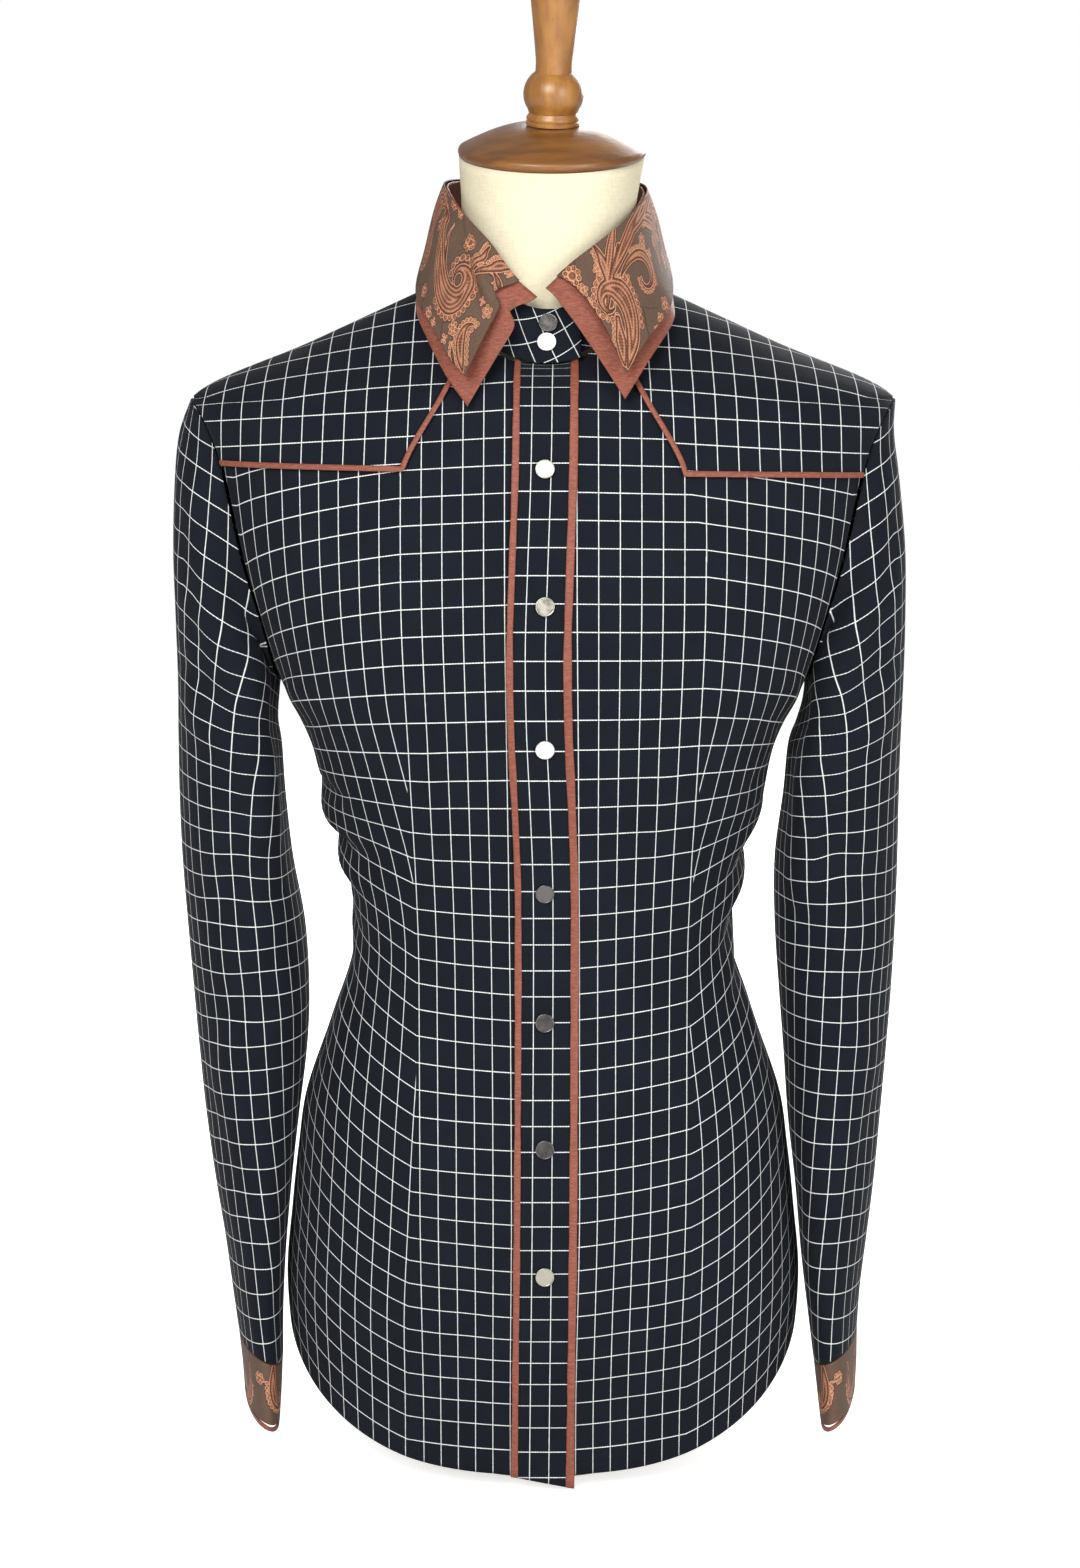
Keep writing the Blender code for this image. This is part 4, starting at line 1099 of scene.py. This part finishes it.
# Curls of the figured cloth. Each has a spine that starts at (out, z), heads off at `heading`
# degrees from +out towards +z, and bends from bend_start to bend_end degrees per millimetre; half
# widths are at its start, its middle and its end. Beads of radius `bead` line its left side
# (+1 in `beads_on`), its right side (-1), both (2) or neither (0), from the share bead_from of its
# length. `out` is measured along a level line from the centre front, and z is the height.
Motif = namedtuple(
    "Motif",
    "out z heading length bend_start bend_end width_start width_mid width_end bead beads_on bead_from",
)
Rosette = namedtuple("Rosette", "out z petals petal ring")
RIGHT_MOTIFS = records(
    Motif,
    (88, 744, -96, 112, 0.1, -12.6, 1.0, 9.0, 0.8, 2.2, 1, 0.45),
    (77, 733, -84, 34, -0.5, -1.0, 0.5, 1.6, 0.5, 1.3, 0, 0.0),
    (52, 701, 112, 24, 1.6, 3.0, 1.0, 3.0, 1.4, 1.3, -1, 0.1),
    (45, 704, 158, 34, 1.2, 0.6, 1.2, 4.0, 1.6, 1.3, -1, 0.1),
    (36, 704, -160, 22, 2.0, 8.0, 0.8, 2.4, 0.6, 1.1, 1, 0.3),
    (45, 648, 62, 36, 0.4, 13.5, 0.8, 4.4, 0.8, 1.6, 2, 0.12),
    (52, 651, 52, 16, 1.0, 4.0, 0.6, 1.8, 0.6, 1.2, -1, 0.0),
    (112, 708, 84, 64, 0.3, 12.5, 1.0, 7.0, 0.8, 2.0, -1, 0.4),
    (134, 752, -96, 64, 0.3, -12.5, 1.0, 7.0, 0.8, 2.0, 1, 0.4),
    (152, 712, 84, 60, 0.3, 13.0, 1.0, 6.5, 0.8, 2.0, -1, 0.4),
    (176, 756, -96, 60, 0.3, -13.0, 1.0, 6.5, 0.8, 2.0, 1, 0.4),
    (196, 716, 84, 46, 0.6, 14.0, 0.6, 5.4, 0.8, 1.6, -1, 0.4),
)
RIGHT_ROSETTES = records(
    Rosette,
    (74, 745, 7, 1.9, 3.9), (66, 738, 5, 1.5, 2.7), (57, 721, 7, 1.7, 3.6),
    (33, 682, 5, 1.6, 2.8), (38, 688, 4, 1.2, 2.1), (90, 681, 5, 1.8, 3.1),
    (82, 676, 4, 1.3, 2.2), (60, 673, 6, 1.6, 3.1), (67, 667, 4, 1.3, 2.2),
    (101, 694, 5, 1.6, 2.8), (20, 704, 5, 1.3, 2.3), (104, 740, 6, 1.8, 3.5),
    (122, 722, 7, 1.9, 3.9), (144, 732, 7, 1.9, 3.9), (164, 730, 7, 1.9, 3.9),
    (186, 732, 7, 1.9, 3.9), (110, 726, 5, 1.4, 2.5), (132, 708, 5, 1.4, 2.5),
)  # fmt: skip
LEFT_MOTIFS = records(
    Motif,
    (47, 650, 62, 84, 0.4, 14.4, 1.2, 7.4, 0.8, 2.0, -1, 0.32),
    (46, 652, 98, 26, -1.0, 1.5, 1.2, 4.6, 2.4, 1.5, 1, 0.45),
    (37, 677, 70, 44, 0.1, 0.3, 0.6, 2.6, 1.6, 1.2, 0, 0.0),
    (43, 694, 96, 28, 1.2, 2.6, 1.0, 3.6, 1.6, 1.3, 1, 0.3),
    (40, 688, 80, 52, 0.2, -0.2, 0.8, 3.8, 2.2, 1.2, 0, 0.0),
    (45, 700, 66, 60, -0.5, -1.0, 1.0, 5.2, 2.6, 1.2, 0, 0.0),
    (58, 722, 44, 62, -0.6, 0.2, 1.0, 6.6, 3.0, 1.3, -1, 0.4),
    (52, 701, 64, 62, -2.2, -11.5, 1.2, 3.6, 1.2, 1.4, 1, 0.25),
    (78, 734, 16, 44, -1.2, -2.4, 1.0, 4.6, 1.4, 1.3, -1, 0.2),
    (106, 704, 96, 62, -0.3, -12.5, 1.0, 6.8, 0.8, 2.0, 1, 0.4),
    (134, 752, -84, 64, -0.3, 12.5, 1.0, 7.0, 0.8, 2.0, -1, 0.4),
    (152, 712, 96, 60, -0.3, -13.0, 1.0, 6.5, 0.8, 2.0, 1, 0.4),
    (176, 756, -84, 60, -0.3, 13.0, 1.0, 6.5, 0.8, 2.0, -1, 0.4),
    (196, 716, 96, 46, -0.6, -14.0, 0.6, 5.4, 0.8, 1.6, 1, 0.4),
)
LEFT_ROSETTES = records(
    Rosette,
    (17, 702, 8, 1.9, 4.4), (23, 694, 5, 1.5, 2.7), (27, 687, 4, 1.3, 2.2),
    (31, 680, 4, 1.1, 1.9), (35, 706, 5, 1.4, 2.5), (36, 699, 5, 1.5, 2.6),
    (34, 692, 4, 1.2, 2.1), (37, 686, 4, 1.1, 1.9), (77, 722, 6, 1.7, 3.3),
    (86, 715, 4, 1.3, 2.3), (86, 700, 5, 1.6, 2.8), (56, 700, 5, 1.5, 2.6),
    (94, 686, 5, 1.9, 3.3), (85, 678, 5, 1.5, 2.7), (78, 672, 4, 1.2, 2.1),
    (100, 722, 6, 1.7, 3.2), (120, 738, 6, 1.8, 3.5), (122, 712, 7, 1.9, 3.9),
    (144, 732, 7, 1.9, 3.9), (164, 730, 7, 1.9, 3.9), (186, 732, 7, 1.9, 3.9),
)  # fmt: skip
CUFF_MOTIFS = [
    Motif(12 + 26 * i, 66 - 3 * (i % 2), -85 - 10 * (i % 3), 44, 0.5 - (i % 2), 12 - 26 * (i % 2),
          0.6, 4.2, 0.8, 1.5, 2 * (i % 2) - 1, 0.3)
    for i in range(11)
]  # fmt: skip
CUFF_ROSETTES = [Rosette(25 + 26 * i, 34 + 22 * (i % 2), 6, 1.5, 2.9) for i in range(11)]


def motif_spine(motif, steps=60):
    """Points along a curl's spine, its half width and its length there, and its left-hand direction."""
    t = np.linspace(0, 1, steps)
    ds = motif.length / (steps - 1)
    bend = motif.bend_start + (motif.bend_end - motif.bend_start) * t**2
    heading = np.radians(motif.heading + np.cumsum(np.insert(bend[:-1] * ds, 0, 0.0)))
    ahead = np.stack([np.cos(heading), np.sin(heading)], -1)
    line = (motif.out, motif.z) + np.cumsum(ahead, axis=0) * ds
    start, mid, end = motif.width_start, motif.width_mid, motif.width_end
    rise = start + (mid - start) * np.sin(math.pi * t / 1.1) ** 0.8
    half = np.where(t < 0.55, rise, end + (rise - end) * (1 - np.maximum((t - 0.55) / 0.45, 0) ** 0.9))
    left = np.stack([-np.sin(heading), np.cos(heading)], -1)
    return line, half, t * motif.length, left


def motif_beads(motif):
    """Circles (out, z, radius) set edge to edge along the curl's outline."""
    line, half, _, left = motif_spine(motif, 160)
    sides = (1, -1) if motif.beads_on == 2 else (motif.beads_on,) if motif.beads_on else ()
    beads = []
    for side in sides:
        rim = line + left * (side * (half + motif.bead))[:, None]
        run = distances(rim)
        first = run[int(motif.bead_from * 159)]
        for at in np.arange(first, run[-1], 2.05 * motif.bead):
            place_here = [np.interp(at, run, rim[:, 0]), np.interp(at, run, rim[:, 1])]
            inside = np.linalg.norm(line - place_here, axis=1) - half
            if inside.min() > motif.bead * 0.55:
                beads.append((*place_here, motif.bead))
    return beads


def rosette_beads(rosette):
    """A ring of petals and a round centre, as circles (out, z, radius)."""
    out, z, petals, petal, ring = rosette
    turns = np.arange(petals) * 2 * math.pi / petals + out
    beads = [(out + ring * math.cos(a), z + ring * math.sin(a), petal) for a in turns]
    return beads + [(out, z, ring - petal + 0.3)]


def figure_fields(flat, motifs, rosettes):
    """Two UV layers: the distance outside the nearest curl and how far along it that is, and the
    distance outside the nearest bead and that bead's radius."""
    best, along = np.full(flat.shape[:2], 40.0), np.zeros(flat.shape[:2])
    outside, radius = np.full(flat.shape[:2], 40.0), np.ones(flat.shape[:2])
    for motif in motifs:
        line, half, length, _ = motif_spine(motif)
        near = ((flat > line.min(0) - 12) & (flat < line.max(0) + 12)).all(axis=-1)
        spot = np.where(near)
        if not len(spot[0]):
            continue
        gap = np.linalg.norm(flat[spot][:, None] - line[None], axis=-1) - half[None]
        which = gap.argmin(axis=1)
        value = gap[np.arange(len(which)), which]
        better = value < best[spot]
        rows, columns = spot[0][better], spot[1][better]
        best[rows, columns] = value[better]
        along[rows, columns] = length[which[better]]
    beads = [bead for motif in motifs for bead in motif_beads(motif)]
    beads += [bead for rosette in rosettes for bead in rosette_beads(rosette)]
    for out, z, size in beads:
        spot = np.where((np.abs(flat - (out, z)) < size + 3).all(axis=-1))
        gap = np.linalg.norm(flat[spot] - (out, z), axis=-1) - size
        better = gap < outside[spot]
        rows, columns = spot[0][better], spot[1][better]
        outside[rows, columns] = gap[better]
        radius[rows, columns] = size
    return {"figure": np.stack([best, along], -1), "beads": np.stack([outside, radius], -1)}


LEAF_FOLDS = {
    -1: records(
        Fold, (74, 723, 48, 708, -1, -2.4, 3.6), (54, 711, 32, 682, 2, -3.2, 4.0),
        (48, 717, 27, 690, 2, 2.4, 4.5), (62, 706, 42, 672, -2, 1.0, 8),
    ),
    1: records(Fold, (58, 720, 48, 670, 3, 0.8, 9), (34, 700, 45, 664, -1, -0.8, 6)),
}  # fmt: skip


def collar_half(stations, edge, start, side, count):
    """Fold and edge points of one half at `count` places from its front end to the centre back."""
    last = len(stations) - 1
    at = np.linspace(0, 1, count) ** 1.35 * last
    back = at + start * (1 - at / last) ** 3
    pair = []
    for key, spot in (("fold", back), (edge, at)):
        table = np.array([getattr(row, key) for row in stations], float)
        j = np.clip(spot.astype(int), 0, last - 1)
        u = (spot - j)[:, None]
        a, b, c, d = (table[np.clip(j + step, 0, last)] for step in (-1, 0, 1, 2))
        curve = hermite(b, c, (c - a) / 2, (d - b) / 2, u)
        straight = b + (c - b) * u
        share = smooth(spot, 0.0, 1.0)[:, None]
        point = straight * (1 - share) + curve * share
        pair.append(point * np.array((side, 1, 1)))
    return pair[0], pair[1], side * np.maximum(0, 1 - at)


def leaf_half(edge, side, start, inset, count, rows):
    stations = COLLAR_LEFT if side > 0 else COLLAR_RIGHT
    fold, low, bow = collar_half(stations, edge, start, side, count)
    share = np.linspace(0, 1, rows)[:, None, None]
    radial = unit(fold * np.array((1, 1, 0)))
    bulge = COLLAR_BULGE * np.sin(math.pi * share) * (1 - share)
    turn = share**0.6
    nip = COLLAR_NIP[side] * np.exp(-(((share - NIP_SHARE) / 0.09) ** 2)) * smooth(share, 0.0, 0.07)
    reach = COLLAR_BOW[edge][side] * 4 * turn * (1 - turn) + nip
    bend = bow[None, :, None] * reach * np.array((1, 0, 0))
    lift = -inset * 0.6 * (1 - share) * np.array((0, 0, 1))
    points = fold + (low - fold) * share + radial * (bulge - inset) + lift + bend
    out = np.abs(points[:, :1, 0]) + distances(points[..., :2])
    flat = np.stack([out, points[..., 2]], -1)
    press = crease(LEAF_FOLDS[side], out, points[..., 2]) * smooth(share[..., 0], 0.0, 0.25)
    return points + radial * press[..., None], flat


def joined(left, right):
    """Both halves of a leaf as one row, from the wearer's left front end round to the right one."""
    return np.concatenate([left[:, :-1], right[:, ::-1]], axis=1)


def make_leaf(name, node, edge, starts, inset, material, count, rows, figures=None):
    left, left_flat = leaf_half(edge, 1, starts[1], inset, count, rows)
    right, right_flat = leaf_half(edge, -1, starts[-1], inset, count, rows)
    layers = None
    if figures:
        of_left, of_right = figure_fields(left_flat, *figures[1]), figure_fields(right_flat, *figures[-1])
        layers = {key: joined(of_left[key], of_right[key]) for key in of_left}
    cloth(name, node, joined(left, right), material, layers, 0.8, outward=True, flip=True)


def stand_point(angle, rise):
    low = body_point(angle, np.full(np.shape(angle), NECK_Z)) + np.array((0, 0, STAND_LIFT))
    over = np.clip((angle - 1.2 * math.pi) / (0.4 * math.pi), 0, 1)
    drop = STAND_END_DROP * np.maximum((angle - 1.9 * math.pi) / (0.2 * math.pi), 0) * (1 - rise)
    out = np.stack([np.sin(angle), -np.cos(angle), 0 * angle], -1) * (STAND_LAP * over + 2 * drop)[..., None]
    top = ring_point(STAND_TOP, angle)
    rise = np.asarray(rise)[..., None]
    return low + (top - low) * rise + out - drop[..., None] * np.array((0, 0, 1))


def make_collar_stand():
    """The band round the neck, whose right end laps over its left end; the check lies on the bias."""
    under_x, over_x, tall, tilt = -17.0, 20.0, 33.0, math.radians(24)
    start, end = angle_of_x(under_x, NECK_Z), 2 * math.pi + angle_of_x(over_x, NECK_Z)
    angles, rises = np.meshgrid(np.linspace(start, end, 220), np.linspace(0, 1, 16))
    points = stand_point(angles, rises)
    run, up = distances(points), rises * tall
    run = run - run[:, -1:]
    u = (run * math.cos(tilt) + up * math.sin(tilt)) / 11.6
    v = (up * math.cos(tilt) - run * math.sin(tilt)) / 13.5
    layers = {"cloth": np.stack([u + 0.1, v + 0.35], -1), "seam": far_seam(angles.shape)}
    cloth("shirt_collar_stand", "collar_stand", points, CHECK, layers, wall=0.9)


def make_collar():
    make_collar_stand()
    under = ("collar_under_leaf", "collar_under", "under_edge", {-1: 0, 1: 0}, UNDER_LEAF_IN)
    top = ("collar_top_leaf", "collar_top", "top_edge", TOP_LEAF_START, TOP_LEAF_IN)
    make_leaf(*under, RUST, 150, 40)
    figures = {-1: (RIGHT_MOTIFS, RIGHT_ROSETTES), 1: (LEFT_MOTIFS, LEFT_ROSETTES)}
    make_leaf(*top, FIGURED, 230, 90, figures)


# --- Snaps and form --------------------------------------------------------------------------

SNAP_PROFILE = [(4.6, 1.25), (4.75, 1.5), (5.0, 1.6), (5.25, 1.5), (5.4, 1.2), (5.4, 0.4), (5.2, 0.05)]
# Each snap down the placket: its height and its metal. The metals are one nickel whose base colour is set
# lighter or darker from snap to snap as painted reflection: dark where a cap mirrors something dark, near
# white where it mirrors white.
SnapPlace = namedtuple("SnapPlace", "z metal")
SNAPS = records(
    SnapPlace,
    (131, "plain"), (204.5, "dark"), (277, "dark"), (353.5, "dark"),
    (439.5, "bright"), (520, "plain"), (595, "plain"),
)  # fmt: skip


def make_snap(name, node, at, normal, metal):
    made = turned(name, SNAP_PROFILE, SNAP_METALS[metal], steps=64, smooth_angle=50)
    facing = Vector(normal).to_track_quat("Z", "Y").to_matrix().to_4x4()
    made.data.transform(Matrix.Translation(Vector(at) * MM) @ facing)
    place(made, node)


def make_snaps():
    centre_x = (PLACKET_RIGHT + PLACKET_LEFT) / 2
    for i, snap in enumerate(SNAPS):
        height = np.array([float(snap.z)])
        angle = angle_of_x(centre_x, height)
        base = on_body(angle, height, 2 * LAYER_GAP + CLOTH_WALL + 0.1)[0]
        make_snap(f"snap_cap_{i + 1}", f"snap_{i + 1}", base, body_normal(angle, height)[0], snap.metal)
    angle = np.array([2 * math.pi]) + angle_of_x(centre_x, NECK_Z)
    low, high = stand_point(angle, 0)[0], stand_point(angle, 1)[0]
    up = unit(high - low)
    normal = unit(np.cross((1, 0, 0), up))
    for i, rise in enumerate(STAND_SNAP_RISES):
        # The lower stand snap takes the brightened nickel and the upper one the darkened nickel, as painted
        # reflections.
        at, metal = low + up * rise + normal * 0.5, "dark" if i else "bright"
        make_snap(f"stand_snap_cap_{i + 1}", f"stand_snap_{i + 1}", at, normal, metal)
    for side, name in ((-1, "right"), (1, "left")):
        ring = sleeve_ring(CUFF[1], side)
        index = SIDES * 13 // 16
        along = ring[index + 2] - ring[index - 2]
        normal = unit(np.cross((0, 0, 1), along))
        normal = normal if normal[0] * side > 0 else -normal
        make_snap(f"cuff_snap_cap_{name}", f"cuff_snap_{name}", ring[index] + normal * 0.6, normal, "plain")


def make_torso():
    """The form under the shirt: the shirt's own sections made smaller, and the neck's above them."""
    heights = [FORM_BOTTOM_Z, 130, 165, 200, 235, 270, 310, 350, 390, 430, 470, 510]
    heights += [550, 590, 615, 632, 648, 664.5]
    angles = np.arange(120) * 2 * math.pi / 120
    rings = []
    for height in heights:
        section = blend(BODY, "z_side", height)
        less = {key: getattr(section, key) - FORM_CLEARANCE for key in ("half_width", "front", "back")}
        drop = FORM_CLEARANCE if height >= SHOULDER_Z else 0.0
        rings.append(ring_point(section._replace(power=2.2, **less), angles) - np.array((0, 0, drop)))
    rings += [ring_point(section, angles) for section in FORM_NECK]
    place(mesh_piece("form_body", loft(rings, 6.0), LINEN, wrap=True, ends=True), "form_torso")


def make_cap_and_finial():
    rim, dome, rim_high, foot = 54.5, 18.0, 6.0, 15.0
    share = np.linspace(0, 1, 24)
    slope_radii = foot + (rim - 1.6 - foot) * share
    slope = list(zip(slope_radii, rim_high + (dome - rim_high) * np.cos(share * math.pi / 2)))
    edge = [(rim - 0.7, rim_high - 0.5), (rim - 0.1, rim_high - 1.6), (rim, rim_high - 2.8)]
    edge += [(rim - 0.4, 1.6), (rim - 1.4, 0.6)]
    profile = [(0.5, dome), (8, dome)] + slope + edge + [(0.5, CAP_GAP)]
    cap = turned("form_cap_turned", profile, CAP_WOOD, 160)
    base = dome + CAP_GAP
    top = [(0.3, 90), (4, 89.8), (8.6, 88.4), (12, 85.5), (14.6, 80), (14.4, 73), (12.4, 55), (10.6, 37.5)]
    bulb = [(17.4 * math.sin(a), 17.5 - 16.0 * math.cos(a)) for a in np.radians(np.linspace(142, 58, 22))]
    rings = [(14.4, 7.6), (13.9, 7.0), (14.2, 6.0), (15.2, 4.6), (15.4, 3.4), (14.9, 2.4), (15.6, 1.6)]
    profile = rounded(top) + [(10.5, 34.5)] + bulb + rings + [(15.6, 0.2)]
    finial = turned("form_finial_turned", [(r, base + h) for r, h in profile], POST_WOOD, 120)
    spot = Matrix.Translation(CAP_CENTRE * MM) @ Matrix.Rotation(CAP_TILT, 4, "X")
    cap.data.transform(spot)
    finial.data.transform(spot @ Matrix.Rotation(CAP_LEAN, 4, "Y"))
    place(cap, "form_neck_cap")
    place(finial, "form_finial")


def arc(radius, height, size, start, end):
    """Eight points of a quarter circle between two angles in degrees."""
    turns = np.radians(np.linspace(start, end, 8))
    return [(radius + size * math.cos(a), height + size * math.sin(a)) for a in turns]


def make_stand():
    high, post, wide, thick, fillet, edge = FORM_BOTTOM_Z - 0.4, 16.0, 75.0, 12.0, 6.0, 3.0
    profile = [(0.5, high), (post, high)]
    profile += arc(post + fillet, thick + fillet, fillet, 180, 270)
    profile += arc(wide - edge, thick - edge, edge, 90, 0)
    profile += [(wide, 0.6), (wide - 0.6, 0.05), (0.5, 0.05)]
    place(turned("form_stand_turned", profile, POST_WOOD, 120), "form_stand")


# --- Scene -----------------------------------------------------------------------------------


def make_stage():
    mesh = bpy.data.meshes.new("floor")
    size = 12.0
    corners = [(-size, -size, 0), (size, -size, 0), (size, size, 0), (-size, size, 0)]
    mesh.from_pydata(corners, [], [(0, 1, 2, 3)])
    n = Nodes("floor_white", Roughness=1.0, Specular_IOR_Level=0.0, Emission_Color=(1, 1, 1, 1))
    n.colour((0.93, 0.93, 0.93, 1))
    n.put(n.shader.inputs["Emission Strength"], n.times(n.add("ShaderNodeLightPath").outputs[0], 0.70))
    mesh.materials.append(n.material)
    floor = bpy.data.objects.new("floor", mesh)
    bpy.context.scene.collection.objects.link(floor)


def area_light(name, at, target, size, power):
    data = bpy.data.lights.new(name, "AREA")
    data.shape = "RECTANGLE"
    data.size, data.size_y = size
    data.energy = power
    light = bpy.data.objects.new(name, data)
    light.location = at
    light.rotation_euler = (Vector(target) - Vector(at)).to_track_quat("-Z", "Y").to_euler()
    bpy.context.scene.collection.objects.link(light)


def make_scene():
    scene = bpy.context.scene
    scene.view_settings.view_transform = "Standard"
    scene.view_settings.look = "None"
    world = bpy.data.worlds.new("studio")
    scene.world = world
    world.use_nodes = True
    tree = world.node_tree
    background = tree.nodes["Background"]
    seen = tree.nodes.new("ShaderNodeLightPath").outputs["Is Camera Ray"]
    level = tree.nodes.new("ShaderNodeMapRange")
    tree.links.new(seen, level.inputs[0])
    level.inputs[3].default_value = 0.34
    level.inputs[4].default_value = 1.0
    background.inputs["Color"].default_value = (1, 1, 1, 1)
    tree.links.new(level.outputs[0], background.inputs["Strength"])
    area_light("key", (-0.9, -2.6, 1.9), (0, 0, 0.45), (1.6, 1.4), 82)
    area_light("fill", (1.5, -2.3, 1.0), (0, 0, 0.4), (1.4, 1.8), 40)
    area_light("back", (0.9, 2.6, 1.7), (0, 0, 0.45), (1.8, 1.6), 70)
    camera = bpy.data.cameras.new("camera")
    camera.sensor_fit = "VERTICAL"
    camera.sensor_height = 36
    camera.lens = 77.8
    eye = bpy.data.objects.new("camera", camera)
    eye.location = (-0.0018, -2.0, 0.688)
    eye.rotation_euler = (math.radians(90 - 8.1), 0, 0)
    scene.collection.objects.link(eye)
    scene.camera = eye
    make_stage()


make_scene()
make_front(-1, "front_right", lambda z: -(PLACKET_RIGHT - 2.8) - placket_shift(z))
make_front(1, "front_left", lambda z: PLACKET_RIGHT - 1.0 + 0 * z)
make_back()
make_placket()
for side, name in ((-1, "right"), (1, "left")):
    make_yoke(side, name)
    make_sleeve(side, name)
    make_cuff(side, name)
make_collar()
make_snaps()
make_torso()
make_cap_and_finial()
make_stand()

# Flat sizes in millimetres and areas in square metres. They are typed in from measuring these same
# shells, unrolled in Blender, and not from a pattern.
Cut = namedtuple("Cut", "piece width length area held rests_on with_pieces")
CUTS = records(
    Cut,
    ("shirt_front_right", 245, 735, 0.122, "draped", "form_body", []),
    ("shirt_front_left", 280, 735, 0.142, "draped", "form_body", []),
    ("shirt_back", 430, 750, 0.270, "draped", "form_body", []),
    ("shirt_placket", 28, 670, 0.0187, "draped", "shirt_front_left",
     ["trim_placket_right", "trim_placket_left"]),
    ("shirt_yoke_right", 145, 176, 0.0185, "laid", "shirt_front_right", ["trim_yoke_right"]),
    ("shirt_yoke_left", 148, 178, 0.0190, "laid", "shirt_front_left", ["trim_yoke_left"]),
    ("shirt_sleeve_right", 307, 573, 0.138, "draped", "shirt_front_right", []),
    ("shirt_sleeve_left", 307, 573, 0.138, "draped", "shirt_front_left", []),
    ("cuff_band_right", 222, 44, 0.0081, "draped", "shirt_sleeve_right",
     ["trim_cuff_right", "cuff_snap_cap_right"]),
    ("cuff_band_left", 222, 44, 0.0081, "draped", "shirt_sleeve_left",
     ["trim_cuff_left", "cuff_snap_cap_left"]),
    ("shirt_collar_stand", 448, 52, 0.0143, "draped", "shirt_back", ["stand_snap_cap_1", "stand_snap_cap_2"]),
    ("collar_under_leaf", 487, 119, 0.0243, "folded", "shirt_collar_stand", []),
    ("collar_top_leaf", 477, 120, 0.0216, "folded", "collar_under_leaf", []),
)  # fmt: skip


def declare_cloth():
    """Gathers, for each piece of cloth, the objects that go with it; nothing is done with them."""
    for cut in CUTS:
        extra = [bpy.data.objects[name] for name in cut.with_pieces]
        if cut.piece == "shirt_placket":
            extra += [bpy.data.objects[f"snap_cap_{i + 1}"] for i in range(len(SNAPS))]


declare_cloth()
